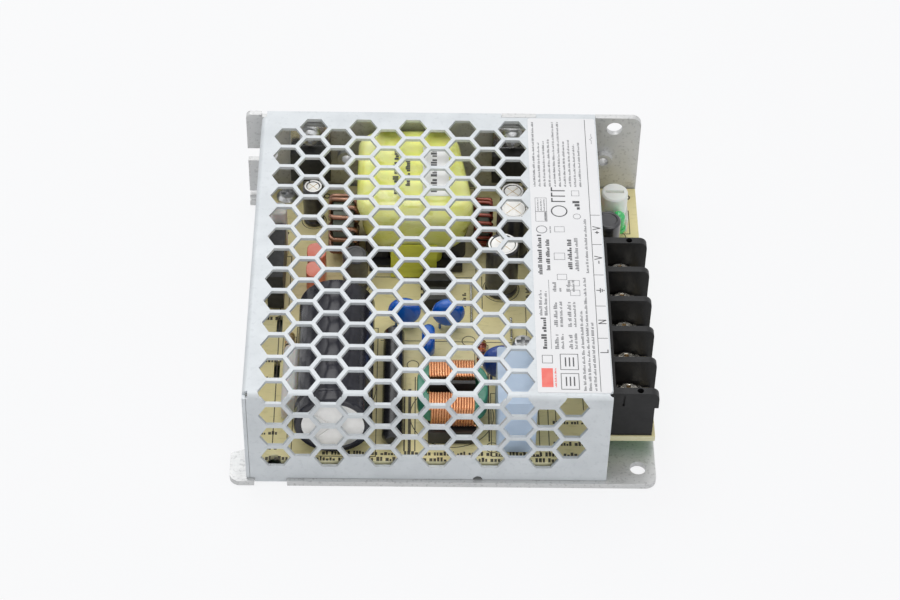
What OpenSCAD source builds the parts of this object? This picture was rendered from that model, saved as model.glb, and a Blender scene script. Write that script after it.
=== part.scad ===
// Enclosed switching power supply: folded chassis, folded mesh cover, five-way screw terminal block.
// Origin: middle of the footprint, on the underside of the base plate. Millimetres.
// +X points to the terminal end, +Y to the solid side wall, +Z up.

/* [Case] */
// Length over the base plate
case_l = 99; // [97:1:120]
// Width over the free edge of the base plate and the side wall
case_w = 97; // [96:1:120]
// Height to the top face of the cover
case_h = 30; // [29.5:0.5:40]

/* [Chassis sheet] */
// Thickness of the chassis sheet
chassis_t = 1.5; // [1.2:0.1:1.8]
// Outer radius of the bend between base plate and side wall
chassis_bend_r = 2.2; // [2:0.1:3]
// Radius of the base plate's and the side wall's outer corners
corner_r = 2.5; // [1:0.5:4]
// Length of the rear ears beyond the cover
rear_ear_l = 4; // [3:0.5:5]
// Length of chassis and board left open at the terminal end
open_end_l = 11.7; // [11.7:0.1:15]
// Length of the rear ear along the free edge of the base plate
base_ear_w = 8.2; // [6:0.1:12]
// Height of the relief between base plate and side wall at the rear
relief_h = 1.5; // [1:0.1:3]

/* [Mounting holes] */
// Diameter of the fixing hole in the base plate
base_hole_d = 3.8; // [3:0.1:4.5]
// Distance of that hole from the terminal end
base_hole_end = 4.1; // [4:0.1:6]
// Distance of that hole from the free edge
base_hole_side = 5; // [4:0.1:6]
// Diameter of the fixing hole in the side wall
wall_hole_d = 4; // [3:0.1:4.5]
// Distance of that hole from the terminal end
wall_hole_end = 6.6; // [4:0.1:8]
// Distance of that hole below the top of the wall
wall_hole_drop = 3.5; // [3:0.1:5]
// Width of the open slot at the rear of the side wall
slot_w = 4.1; // [3:0.1:5]
// Length of that slot to the middle of its round end
slot_l = 5.5; // [4:0.5:7]
// Height of the slot and of the tapped holes in the side wall
slot_z = 16.6; // [15:0.1:18]
// Tapping diameter of the M3 mounting threads
tap_d = 2.5; // [2.4:0.05:2.6]
// Outer diameter of the drawn collars round those threads
collar_d = 4.6; // [4:0.1:5]
// Length of those threads, through sheet and collar
thread_l = 3; // [2.6:0.1:3.4]
// Distance between the two tapped holes in the base plate
base_tap_pitch = 55; // [40:1:60]
// Distance between the two tapped holes in the side wall
wall_tap_pitch = 65; // [64:0.5:66]
// Distance of the front tapped hole in the side wall from the terminal end
wall_tap_end = 9; // [8:0.1:10]

/* [Mesh cover] */
// Thickness of the cover sheet
cover_t = 0.8; // [0.6:0.1:1]
// Outer radius of the cover's bends
cover_bend_r = 1.3; // [1.2:0.1:2]
// Setback of the cover's near wall from the base plate's free edge
cover_inset = 1; // [0.5:0.1:1.5]
// Distance between the centres of neighbouring hexagons
hex_pitch = 7.1; // [6:0.1:10]
// Width of the metal between two hexagons
hex_web = 1; // [0.8:0.1:2]
// Distance of the first column of hexagons from the rear end of the cover
hex_end_margin = 7; // [6:0.1:9]
// Distance of the first row of hexagons from the side wall's outer face
hex_side_margin = 6; // [5.5:0.1:9]
// Height of the plain strip at the foot of the perforated walls
hex_foot = 4; // [3:0.1:6]
// Length of the side wall's tab that locks into the cover
lock_tab_l = 8.7; // [6:0.1:12]
// Distance of that tab's middle from the terminal end
lock_tab_end = 30.8; // [28:0.1:34]
// Length of the cover's foot tab in the base plate's free edge
foot_tab_l = 7.4; // [5:0.1:10]
// Distance of that tab's middle from the rear end of the cover
foot_tab_start = 5.6; // [5:0.1:9]
// Width of the flange that the cover screw holds
flange_w = 16; // [10:1:24]
// Length of that flange
flange_l = 5.6; // [5:0.1:6]

/* [Label] */
// Thickness of the rating label
label_t = 0.12; // [0.08:0.02:0.2]
// Width of the rating label
label_w = 16.7; // [10:0.1:20]

/* [Circuit board] */
// Height of the board's underside above the ground
board_z = 4.9; // [4.5:0.1:5.5]
// Thickness of the board
board_t = 1.6; // [1:0.1:2]
// Gap between the board and the walls round it
board_gap = 0.5; // [0.3:0.1:0.7]
// Depth of the notch beside the terminal block
board_notch = 8.1; // [7:0.1:9]
// Diameter of the pressed board standoffs
standoff_d = 5.6; // [5:0.1:6.5]
// Thickness of the insulation sheet under the board
film_t = 0.25; // [0.2:0.05:0.4]

/* [Terminal block] */
// Number of terminals
bays = 5; // [3:1:5]
// Distance between two terminals
bay_pitch = 9.9; // [9.5:0.05:10.2]
// Thickness of the barriers between the terminals
barrier_t = 1.7; // [1.2:0.1:2]
// Thickness of the two end walls
end_wall_t = 2; // [1.6:0.1:2.4]
// Height of the block above the board
block_h = 14.3; // [13.5:0.1:16]
// Height of the terminal deck above the board
deck_h = 5.2; // [5:0.1:6]
// Distance of the screws from the terminal end
screw_end = 6.5; // [6.3:0.1:7]
// Thickness of the terminal plates
plate_t = 0.9; // [0.6:0.1:1.2]
// Side of the square clamp washers
washer_w = 7; // [6.5:0.1:7.2]
// Thickness of the clamp washers
washer_t = 0.9; // [0.7:0.1:1.1]
// Diameter of the terminal screws' heads
head_d = 6.2; // [5.6:0.1:6.4]
// Height of the terminal screws' heads
head_h = 2; // [1.6:0.1:2.4]
// Length of the terminal screws under the head
screw_l = 5.4; // [5:0.1:5.8]

/* [Transformer] */
// Length of the transformer along the case
xfmr_l = 27; // [22:0.5:28]
// Width of the transformer across the case
xfmr_w = 31.4; // [28:0.1:32]
// Height of the transformer above the board
xfmr_h = 20.4; // [16:0.1:21]
// Width of the winding between the core's outer legs
winding_l = 13; // [10:0.5:15]

/* [Capacitors] */
// Diameter of the bulk capacitor
bulk_d = 18; // [16:0.5:18]
// Length of the bulk capacitor
bulk_l = 39; // [30:0.5:40]
// Diameter of the output capacitors
output_cap_d = 8; // [6:0.1:8]
// Height of the output capacitors
output_cap_h = 15.6; // [12:0.1:20]
// Length of the boxed film capacitor along the case
film_cap_l = 9.1; // [7:0.1:10]
// Width of the boxed film capacitor
film_cap_w = 17.8; // [12:0.1:18]
// Height of the boxed film capacitor
film_cap_h = 17; // [12:0.1:18]
// Diameter of the small electrolytic capacitors
small_cap_d = 6.3; // [5:0.1:6.4]
// Diameter of the blue disc capacitors
disc_d = 8; // [6:0.1:8]
// Thickness of the blue disc capacitors
disc_t = 3.2; // [2.5:0.1:3.6]

/* [Chokes] */
// Outer diameter of the mains choke's ring core
choke_d = 16.4; // [14:0.1:17]
// Height of the mains choke's ring core
choke_h = 7; // [5:0.1:9]
// Thickness of the winding round a ring core
wire_t = 1.1; // [0.8:0.1:1.3]

/* [Adjuster and lamp] */
// Side of the adjuster's square body
trimmer_w = 7.2; // [6.5:0.1:7.4]
// Diameter of the adjuster's turning cap
trimmer_d = 6.7; // [6:0.1:7]
// Height of the adjuster above the board
trimmer_h = 10.6; // [9:0.1:12]
// Diameter of the indicator lamp
lamp_d = 3.1; // [3:0.1:3.4]

/* [Hidden] */
$fn = 48;

// Colours
aluminium = [0.78, 0.79, 0.78];
zinc = [0.83, 0.85, 0.86];
black = [0.12, 0.12, 0.13];
copper = [0.80, 0.46, 0.28];
tape_yellow = [0.88, 0.92, 0.35];
cap_blue = [0.12, 0.33, 0.80];

// Small clearances: sheet beside sheet, a turning or sliding fit, and a loose hole
fit = 0.1;
run = 0.05;
eps = 0.01;

// Main planes of the case
end_x = case_l / 2;
side_y = case_w / 2;
wall_in = side_y - chassis_t;
cover_x0 = -end_x + rear_ear_l;
cover_x1 = end_x - open_end_l;
cover_y0 = -side_y + cover_inset;
cover_y1 = side_y - fit;
cover_under = case_h - cover_t;
cover_foot = chassis_t + fit;
// The slotted end of the side wall, kept apart from the rest of the sheet
ear_x1 = -end_x + slot_l + slot_w / 2 + 1.5;
// Lines where the cover's flat faces run into its bends
bend_x = cover_x0 + cover_bend_r;
bend_y = cover_y0 + cover_bend_r;
bend_z = case_h - cover_bend_r;

// Hexagon lattice, laid out on the flat sheet and carried round the bends
hex_flats = hex_pitch - hex_web;
hex_r = hex_flats / sqrt(3);
column_step = hex_pitch * sqrt(3) / 2;
first_column = cover_x0 + hex_end_margin;
first_row = side_y - hex_side_margin;
bend_arc = (cover_bend_r - cover_t / 2) * PI / 2;
function column_x(k) = first_column + k * column_step;
function row_y(k, j) = first_row - (j + (k % 2 == 0 ? 0.5 : 0)) * hex_pitch;
function wall_z(y) = bend_z + (y - bend_y) + bend_arc;
rows = ceil((case_w + case_h) / hex_pitch);
label_x0 = cover_x1 - 0.3 - label_w;
top_columns = floor((label_x0 - hex_r - 0.2 - first_column) / column_step);
wall_columns = floor((cover_x1 - hex_r - 1.5 - first_column) / column_step);
end_columns = [2, 3, 4];

// Board and what stands on it
board_top = board_z + board_t;
board_x0 = cover_x0 + cover_t + board_gap;
board_y0 = cover_y0 + cover_t + board_gap;
board_y1 = wall_in - board_gap;
notch_x = cover_x1 + 0.2;
function from_rear(d) = cover_x0 + d;
function from_end(d) = end_x - d;

// The parts' places are drawn in a room 83.3 long, 95.9 wide and 22.7 high over the board, and follow
// the real room. Their sizes follow its tightest side: named sizes against the room they are meant for,
// the small parts' own sizes against the drawn room.
layout_room = [83.3, 95.9, 22.7];
room = [cover_x1 - cover_x0, cover_y1 - cover_y0, cover_under - board_top];
grow_x = room[0] / 83.3;
grow_y = room[1] / 95.9;
named_k = min(room[0] / layout_room[0], room[1] / layout_room[1], room[2] / layout_room[2]);
small_k = min(grow_x, grow_y, room[2] / 22.7);
function x_rear(d) = cover_x0 + d * grow_x;
function x_end(d) = end_x - d * grow_x;
function y_near(d) = cover_y0 + d * grow_y;
function y_side(d) = wall_in - d * grow_y;
board_screw_at = [[x_rear(64.7), y_near(37.9)], [x_rear(6), y_side(5.5)], [x_rear(78), y_side(5)],
  [x_rear(77), y_near(24)]];
wall_tap_at = [from_end(wall_tap_end), from_end(wall_tap_end + wall_tap_pitch * room[0] / layout_room[0])];
m3_r = 1.45;

// Terminal block
block_x0 = cover_x1 + 0.4;
block_y0 = -side_y + board_notch + 2.2 + 0.45;
block_lower_x1 = end_x - 0.9;
block_w = bays * bay_pitch + end_wall_t;
deck_z = board_top + deck_h;
plate_z = deck_z + plate_t;
washer_z = plate_z + washer_t;
block_top = board_top + block_h;
step_z = board_top + block_h * 0.66;
screw_x = from_end(screw_end);
leg = [0.9, 2.4];
leg_x = block_x0 + 1.7;
function bay_y(n) = block_y0 + end_wall_t / 2 + (n - 0.5) * bay_pitch;
function barrier_y(n) = block_y0 + end_wall_t / 2 + n * bay_pitch;

// Strip between the terminal block and the side wall, drawn 33.25 wide, and its parts' places and size
strip_k = (wall_in - block_y0 - block_w) / 33.25;
strip_small_k = min(small_k, strip_k);
function y_strip(d) = wall_in - d * strip_k;

// ---------------------------------------------------------------- shared forms

// Flat shape with the four corners rounded, drawn from its low to its high corner
module rounded_rect(low, high, r) {
  translate([low[0] + r, low[1]]) square([high[0] - low[0] - 2 * r, high[1] - low[1]]);
  translate([low[0], low[1] + r]) square([high[0] - low[0], high[1] - low[1] - 2 * r]);
  for (x = [low[0] + r, high[0] - r], y = [low[1] + r, high[1] - r])
    translate([x, y]) circle(r);
}

// What is taken off a square corner to round it; the corner is at the origin, metal at -x -y
module corner_cut(r) {
  difference() {
    translate([-r, -r]) square(r + 1);
    translate([-r, -r]) circle(r);
  }
}

// Quarter of a bent sheet, drawn from the x axis to the y axis
module bend_quarter(r, t) {
  intersection() {
    difference() {
      circle(r);
      circle(r - t);
    }
    square(r);
  }
}

// Extrusion along X of a shape drawn as (y, z)
module along_x(x0, x1) {
  translate([x0, 0, 0]) rotate([90, 0, 90]) linear_extrude(x1 - x0) children();
}

// Extrusion along Y of a shape drawn as (x, z)
module along_y(y0, y1) {
  translate([0, y1, 0]) rotate([90, 0, 0]) linear_extrude(y1 - y0) children();
}

// Round bar along Y
module bar_y(x, y0, y1, z, r) {
  translate([x, y0, z]) rotate([-90, 0, 0]) cylinder(h = y1 - y0, r = r);
}

// Round bar along X
module bar_x(x0, x1, y, z, r) {
  translate([x0, y, z]) rotate([0, 90, 0]) cylinder(h = x1 - x0, r = r);
}

// Block from its low to its high corner
module block(low, high) {
  translate(low) cube(high - low);
}

// The children, sized by the factor k about the point p
module sized(k, p) {
  translate(p) scale(k) translate(-p) children();
}

module hexagon() {
  circle(r = hex_r, $fn = 6);
}

// ---------------------------------------------------------------- chassis

// Base plate with the quarter bend up to the side wall
module base_strip() {
  translate([-side_y, 0]) square([case_w - chassis_bend_r, chassis_t]);
  translate([side_y - chassis_bend_r, chassis_bend_r])
    mirror([0, 1]) bend_quarter(chassis_bend_r, chassis_t);
}

// Everything cut out of the base plate's outline
module base_cuts() {
  translate([end_x, -side_y]) mirror([0, 1]) corner_cut(corner_r);
  translate([-end_x, -side_y]) mirror([1, 0]) mirror([0, 1]) corner_cut(corner_r);
  // Rear edge set back to the cover between the ear and the side wall
  polygon([[-end_x - 1, -side_y + base_ear_w], [cover_x0, -side_y + base_ear_w + 2],
    [cover_x0, side_y - chassis_bend_r - 0.5], [-end_x - 1, side_y - chassis_bend_r - 0.5]]);
  // Notch for the cover's foot tab
  translate([from_rear(foot_tab_start) - foot_tab_l / 2 - fit, -side_y - 1])
    square([foot_tab_l + 2 * fit, 1 + cover_inset + cover_t + fit]);
  translate([from_end(base_hole_end), -side_y + base_hole_side]) circle(d = base_hole_d);
  for (x = [-1, 1]) translate([x * base_tap_pitch / 2, 0]) circle(d = tap_d);
  for (p = board_screw_at) translate(p) circle(d = tap_d);
}

// Everything cut out of the side wall, drawn as (x, z)
module wall_cuts() {
  translate([end_x, case_h]) corner_cut(corner_r);
  translate([-end_x, case_h]) mirror([1, 0]) corner_cut(corner_r / 2);
  // The cover lies on the lowered top edge, round the locking tab
  difference() {
    translate([cover_x0 - fit, cover_under - fit])
      square([cover_x1 - cover_x0 + 2 * fit, cover_t + 1]);
    translate([from_end(lock_tab_end) - lock_tab_l / 2 + fit, 0])
      square([lock_tab_l - 2 * fit, case_h]);
  }
  translate([-end_x - 1, slot_z - slot_w / 2]) square([slot_l + 1, slot_w]);
  translate([-end_x + slot_l, slot_z]) circle(d = slot_w);
  translate([-end_x - 1, chassis_bend_r + 0.3]) square([1 + rear_ear_l, relief_h]);
  translate([from_end(wall_hole_end), case_h - wall_hole_drop]) circle(d = wall_hole_d);
  for (x = wall_tap_at) translate([x, slot_z]) circle(d = tap_d);
  for (p = device_at) translate([p, device_screw_z]) circle(d = tap_d);
}

module chassis_base() {
  color(aluminium) difference() {
    union() {
      along_x(-end_x, end_x) base_strip();
      for (p = board_screw_at) translate(p) cylinder(h = board_z, d = standoff_d);
      for (x = [-1, 1]) translate([x * base_tap_pitch / 2, 0]) cylinder(h = thread_l, d = collar_d);
    }
    translate([0, 0, -1]) linear_extrude(board_z + 2) base_cuts();
    along_y(side_y - thread_l - 1, side_y + 1) wall_cuts();
    translate([cover_screw_x, 0, -eps]) cylinder(h = chassis_t + 2 * eps, r1 = 2.9, r2 = 1.6);
  }
}

module chassis_side_wall() {
  color(aluminium) difference() {
    union() {
      block([ear_x1, wall_in, chassis_bend_r], [end_x, side_y, case_h]);
      for (x = wall_tap_at) bar_y(x, side_y - thread_l, side_y, slot_z, collar_d / 2);
    }
    along_y(side_y - thread_l - 1, side_y + 1) wall_cuts();
  }
}
module chassis_rear_ear() {
  color(aluminium) difference() {
    block([-end_x, wall_in, chassis_bend_r], [ear_x1, side_y, case_h]);
    along_y(side_y - thread_l - 1, side_y + 1) wall_cuts();
  }
}

// ---------------------------------------------------------------- mesh cover

// Screw through the base plate into the cover's rear flange, height of the foot tab's end, and place of
// the locating dimple along the near wall
cover_screw_x = cover_x0 + cover_t + 3.3;
foot_tab_z = 0.3;
dimple_start = 53.5;

// Flat top of the cover, from bend line to free edges
module cover_top() {
  difference() {
    translate([bend_x, bend_y]) square([cover_x1 - bend_x, cover_y1 - bend_y]);
    for (k = [0 : top_columns], j = [0 : rows])
      if (row_y(k, j) > bend_y - hex_flats / 2) translate([column_x(k), row_y(k, j)]) hexagon();
    translate([from_end(lock_tab_end) - lock_tab_l / 2, wall_in - fit])
      square([lock_tab_l, chassis_t + 1]);
  }
}

// Hexagons of the near wall, drawn as (x, z)
module near_wall_hexagons() {
  for (k = [0 : wall_columns], j = [0 : rows])
    if (row_y(k, j) < bend_y + hex_flats / 2
      && wall_z(row_y(k, j)) > cover_foot + hex_foot + hex_flats / 2
      && (k <= top_columns || wall_z(row_y(k, j)) < bend_z))
      translate([column_x(k), wall_z(row_y(k, j))]) hexagon();
}

// Hexagons of the rear wall, drawn as (y, z)
module rear_wall_hexagons() {
  for (k = end_columns, j = [0 : rows])
    if (row_y(k, j) > bend_y + hex_flats / 2)
      translate([row_y(k, j), bend_z + bend_arc + column_x(-k) - bend_x]) rotate(30) hexagon();
}

rear_y1 = side_y - chassis_bend_r - fit;
edge_lap = 0.5;

// Rounded edge of the cover with the top to its right, lapping into the top
module cover_edge() {
  mirror([1, 0]) bend_quarter(cover_bend_r, cover_t);
  translate([0, cover_bend_r - cover_t]) square([edge_lap, cover_t]);
}

// Top of the cover with its two bends
module mesh_cover_top() {
  color(zinc) difference() {
    union() {
      translate([0, 0, cover_under]) linear_extrude(cover_t) cover_top();
      along_x(bend_x, cover_x1) translate([bend_y, bend_z]) cover_edge();
      along_y(bend_y, rear_y1) translate([bend_x, bend_z]) cover_edge();
    }
    // Hexagons that run over the near bend
    along_y(cover_y0 - 1, bend_y) intersection() {
      near_wall_hexagons();
      translate([cover_x0, bend_z - eps]) square([case_l, cover_bend_r + hex_pitch]);
    }
    translate([0, 0, bend_z]) linear_extrude(cover_bend_r + 1) intersection() {
      for (k = [0 : top_columns], j = [0 : rows])
        if (abs(row_y(k, j) - bend_y) < hex_flats / 2 + edge_lap)
          translate([column_x(k), row_y(k, j)]) hexagon();
      translate([cover_x0, cover_y0 - hex_pitch])
        square([case_l, hex_pitch + cover_bend_r + edge_lap + eps]);
    }
    // Relief at the open end of the near bend
    translate([cover_x1, bend_y, cover_under - 1]) cylinder(h = cover_t + 2, r = 0.8);
  }
}

// Near wall with its foot tab in the base plate's notch and its locating dimple
module mesh_cover_near_wall() {
  color(zinc) along_y(cover_y0, cover_y0 + cover_t) difference() {
    union() {
      translate([cover_x0 + cover_t + fit, cover_foot])
        square([cover_x1 - cover_x0 - cover_t - fit, bend_z - cover_foot]);
      translate([from_rear(foot_tab_start) - foot_tab_l / 2, foot_tab_z])
        square([foot_tab_l, cover_foot + 1 - foot_tab_z]);
    }
    near_wall_hexagons();
    translate([from_rear(dimple_start), cover_foot]) circle(1.1);
  }
}

// Rear wall with the flange that the cover screw holds
module mesh_cover_rear_wall() {
  color(zinc) difference() {
    union() {
      along_x(cover_x0, cover_x0 + cover_t) difference() {
        translate([cover_y0, cover_foot]) square([rear_y1 - cover_y0, bend_z - cover_foot]);
        rear_wall_hexagons();
      }
      block([cover_x0, -flange_w / 2, cover_foot],
        [cover_x0 + cover_t + flange_l, flange_w / 2, cover_foot + cover_t]);
    }
    translate([cover_screw_x, 0, chassis_t]) cylinder(h = cover_t + 1, r = m3_r + run);
  }
}

module cover_screw() {
  color(zinc) translate([cover_screw_x, 0, 0]) {
    cylinder(h = 1.2, r1 = 2.7, r2 = m3_r);
    cylinder(h = board_z - 0.9, r = m3_r);
  }
}

module rating_label() {
  color([0.95, 0.95, 0.96]) translate([0, 0, case_h]) linear_extrude(label_t)
    rounded_rect([label_x0, bend_y + 0.2], [label_x0 + label_w, wall_in - 0.4], 0.6);
}

// ---------------------------------------------------------------- board

module insulation_sheet() {
  color([0.9, 0.9, 0.88]) translate([0, 0, chassis_t]) linear_extrude(film_t) difference() {
    rounded_rect([cover_x0 + cover_t + flange_l + 1, board_y0 + 0.6],
      [cover_x1 - 2.5, side_y - chassis_bend_r - 7.5], 2);
    for (p = board_screw_at) translate(p) circle(d = standoff_d + 1);
    for (x = [-1, 1]) translate([x * base_tap_pitch / 2, 0]) circle(d = collar_d + 1);
  }
}

module circuit_board() {
  color([0.80, 0.78, 0.52]) translate([0, 0, board_z]) linear_extrude(board_t) difference() {
    translate([board_x0, board_y0]) square([end_x - fit - board_x0, board_y1 - board_y0]);
    translate([notch_x, board_y0 - 1]) square([open_end_l, board_notch + 1]);
    for (p = board_screw_at) translate(p) circle(d = 3.2);
    // Half-round notches in the near edge
    for (x = [6.5, 64.4]) translate([x_rear(x), board_y0]) circle(1.6);
    // Isolation slots
    for (y = [44.5, 29.4])
      rounded_rect([x_rear(5.2), y_near(y - 3)], [x_rear(6.6), y_near(y + 3)], 0.6 * small_k);
    for (n = [1 : bays])
      translate([leg_x - fit, bay_y(n) - leg[1] / 2 - fit])
        square([leg[0] + 2 * fit, leg[1] + 2 * fit]);
  }
}

// Pan-head screw standing on its axis, with its seat at z = 0
module pan_screw(r, h, l) {
  difference() {
    union() {
      cylinder(h = h * 0.55, r = r);
      translate([0, 0, h * 0.55]) cylinder(h = h * 0.45, r1 = r, r2 = r * 0.72);
      translate([0, 0, -l]) cylinder(h = l, r = m3_r);
    }
    for (a = [0, 90]) rotate(a) translate([-r * 0.55, -0.45, h * 0.4]) cube([r * 1.1, 0.9, h]);
  }
}

module board_screws() {
  color(zinc) for (p = board_screw_at) translate([p[0], p[1], board_top]) board_screw();
}

// Its shank runs in the board's hole and, slimmer, in the standoff's thread
module board_screw() {
  pan_screw(2.75 * small_k, 1.9 * small_k, board_t - fit);
  translate([0, 0, -board_t - 2.5]) cylinder(h = board_t + 2.5, r = tap_d / 2 - run);
}

// ---------------------------------------------------------------- terminal block

// Side view of a barrier as (x, z): upright below the step, wider and rounded above it
module barrier_profile() {
  r = 2;
  translate([block_x0, board_top]) square([block_lower_x1 - block_x0, block_h - r]);
  translate([block_x0, step_z]) square([end_x - block_x0, block_top - r - step_z]);
  translate([block_x0, board_top]) square([end_x - r - block_x0, block_h]);
  translate([end_x - r, block_top - r]) circle(r);
}

module terminal_block() {
  color(black) difference() {
    union() {
      block([block_x0, block_y0, board_top], [block_lower_x1, block_y0 + block_w, deck_z]);
      block([block_x0, block_y0, board_top], [block_x0 + 1.3, block_y0 + block_w, block_top]);
      for (n = [1 : bays - 1])
        along_y(barrier_y(n) - barrier_t / 2, barrier_y(n) + barrier_t / 2) barrier_profile();
      for (n = [0, bays])
        along_y(barrier_y(n) - end_wall_t / 2, barrier_y(n) + end_wall_t / 2) barrier_profile();
    }
    for (n = [1 : bays]) {
      translate([screw_x, bay_y(n), board_top + 0.8]) cylinder(h = deck_h, r = m3_r + 0.3);
      block([leg_x - fit, bay_y(n) - leg[1] / 2 - fit, board_top - 1],
        [leg_x + leg[0] + fit, bay_y(n) + leg[1] / 2 + fit, deck_z + 1]);
    }
    // Peg holes for the lift-up terminal cover, and the groove beside the near one
    for (n = [0, bays])
      translate([from_end(4.4), barrier_y(n), block_top - 2.5]) cylinder(h = 3, d = 1.5);
    block([from_end(8.4), block_y0 - 1, step_z + 0.6],
      [from_end(7.9), block_y0 + 0.5, block_top - 0.8]);
  }
}

module terminal_plates() {
  color([0.80, 0.74, 0.56]) for (n = [1 : bays]) difference() {
    union() {
      block([block_x0 + 1.4, bay_y(n) - 3.8, deck_z], [block_lower_x1 - 0.6, bay_y(n) + 3.8, plate_z]);
      block([leg_x, bay_y(n) - leg[1] / 2, board_z - 1], [leg_x + leg[0], bay_y(n) + leg[1] / 2, deck_z]);
    }
    translate([screw_x, bay_y(n), deck_z - 1]) cylinder(h = plate_t + 2, r = m3_r + run);
  }
}

// Square washer with the corners cut, captive under its screw
module clamp_washer(n) {
  color([0.86, 0.84, 0.76]) translate([screw_x, bay_y(n), plate_z]) difference() {
    intersection() {
      translate([-washer_w / 2, -washer_w / 2, 0]) cube([washer_w, washer_w, washer_t]);
      cylinder(h = washer_t, r = washer_w * 0.64);
    }
    translate([0, 0, -1]) cylinder(h = washer_t + 2, r = m3_r + fit);
  }
}

module terminal_screw(n) {
  color([0.88, 0.87, 0.82]) translate([screw_x, bay_y(n), washer_z + run])
    pan_screw(head_d / 2, head_h - run, screw_l);
}

// ---------------------------------------------------------------- transformer

xfmr_x = x_rear(38.8);
xfmr_y = wall_in - 0.5 - xfmr_w * named_k / 2;
xfmr_at = [xfmr_x, xfmr_y, board_top];
xfmr_top = board_top + xfmr_h;
tape_h = xfmr_h * 0.62;

module transformer_core() {
  color(black) sized(named_k, xfmr_at) translate([xfmr_x, xfmr_y, 0]) difference() {
    translate([0, 0, board_top + 2.6]) linear_extrude(xfmr_h - 3.2)
      rounded_rect([-xfmr_l / 2 + 1, -xfmr_w / 2 + 2.5], [xfmr_l / 2 - 1, xfmr_w / 2 - 2.5], 2);
    block([-winding_l / 2 - 0.2, -xfmr_w, board_top], [winding_l / 2 + 0.2, xfmr_w, xfmr_top - 3]);
  }
}

module transformer_bobbin() {
  color([0.16, 0.16, 0.17]) sized(named_k, xfmr_at) translate([xfmr_x, xfmr_y, 0]) {
    for (s = [-1, 1]) translate([0, s * (xfmr_w / 2 - 2.6), 0]) {
      block([-xfmr_l / 2 + 2, -2.5, board_top + 0.4], [xfmr_l / 2 - 2, 2.5, board_top + 2.5]);
      for (i = [-2 : 2]) translate([i * 4, 0, board_top]) cylinder(h = 1, d = 0.8);
    }
    block([-winding_l / 2 + 0.5, -xfmr_w / 2 + 2, board_top + 0.4],
      [winding_l / 2 - 0.5, xfmr_w / 2 - 2, board_top + 2.5]);
  }
}

module transformer_winding() {
  color(tape_yellow) sized(named_k, xfmr_at)
    translate([xfmr_x, xfmr_y, board_top + 2.6]) linear_extrude(xfmr_h - 5.8)
    rounded_rect([-winding_l / 2, -xfmr_w / 2 + 0.8], [winding_l / 2, xfmr_w / 2 - 0.8], 2.5);
}

// Outer tape: a round-cornered cap over the core, open underneath
module transformer_tape() {
  color(tape_yellow) sized(named_k, xfmr_at) translate([xfmr_x, xfmr_y, xfmr_top - tape_h]) difference() {
    linear_extrude(tape_h) rounded_rect([-xfmr_l / 2, -xfmr_w / 2], [xfmr_l / 2, xfmr_w / 2], 4.5);
    translate([0, 0, -1]) linear_extrude(tape_h + 0.5)
      rounded_rect([-xfmr_l / 2 + 0.5, -xfmr_w / 2 + 0.5], [xfmr_l / 2 - 0.5, xfmr_w / 2 - 0.5], 4);
  }
}

// ---------------------------------------------------------------- capacitors

bulk_x = x_rear(20.1);
bulk_y0 = y_near(3.5);
bulk_at = [bulk_x, bulk_y0, board_top];
bulk_z = board_top + bulk_d / 2 + fit;

module bulk_capacitor() {
  r = bulk_d / 2;
  color([0.16, 0.16, 0.19]) sized(named_k, bulk_at) {
    difference() {
      // Sleeve and can in one turned outline, from the vent end to the rubber end
      translate([bulk_x, bulk_y0, bulk_z]) rotate([-90, 0, 0]) rotate_extrude() polygon([
        [0, 0.3], [r - 1.8, 0.3], [r - 1.4, 0], [r - 0.4, 0], [r, 0.5], [r, 3], [r - 0.5, 3.6],
        [r - 0.5, 4.4], [r, 5], [r, bulk_l - 0.5], [r - 0.5, bulk_l], [0, bulk_l]]);
      for (a = [45, 135]) translate([bulk_x, bulk_y0, bulk_z]) rotate([0, a, 0])
        translate([-5, -1, -0.2]) cube([10, 1.5, 0.4]);
    }
    for (s = [-1, 1]) {
      bar_y(bulk_x + s * 3.75, bulk_y0 + bulk_l, bulk_y0 + bulk_l + 2, bulk_z, 0.4);
      translate([bulk_x + s * 3.75, bulk_y0 + bulk_l + 2, board_top])
        cylinder(h = bulk_z - board_top + 0.4, r = 0.4);
    }
  }
}

module silicone_beads() {
  color([0.93, 0.92, 0.90]) {
    sized(named_k, bulk_at) along_y(bulk_y0 + 10, bulk_y0 + 28) difference() {
      translate([bulk_x - bulk_d / 2 - 3.5, board_top]) square([6, bulk_d * 0.42]);
      translate([bulk_x, bulk_z]) circle(bulk_d / 2 + 0.02);
      translate([bulk_x - bulk_d / 2 - 3.5, board_top + bulk_d * 0.42]) mirror([1, 0]) corner_cut(3);
    }
    translate([x_rear(5), y_near(69.8), board_top]) scale(small_k) linear_extrude(10)
      rounded_rect([-2, -2.2], [2, 2.2], 1.4);
  }
}

// Upright can with a rolled rim and a sunk top, sized by the factor k
module can_capacitor(x, y, d, h, k) {
  r = d / 2;
  translate([x, y, board_top]) scale(k) rotate_extrude() polygon([[0, 0], [r - 0.4, 0], [r, 0.4], [r, 1.2],
    [r - 0.35, 1.6], [r - 0.35, 2], [r, 2.4], [r, h - 0.5], [r - 0.4, h], [r - 0.9, h],
    [r - 1.1, h - 0.25], [0, h - 0.25]]);
}

output_cap_at = [[x_rear(59.8), y_near(57.3)], [x_rear(62.6), y_near(70)], [x_rear(72.8), y_near(62.5)]];

module output_capacitors() {
  color([0.15, 0.15, 0.17]) for (p = output_cap_at)
    can_capacitor(p[0], p[1], output_cap_d, output_cap_h, named_k);
}

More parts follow.
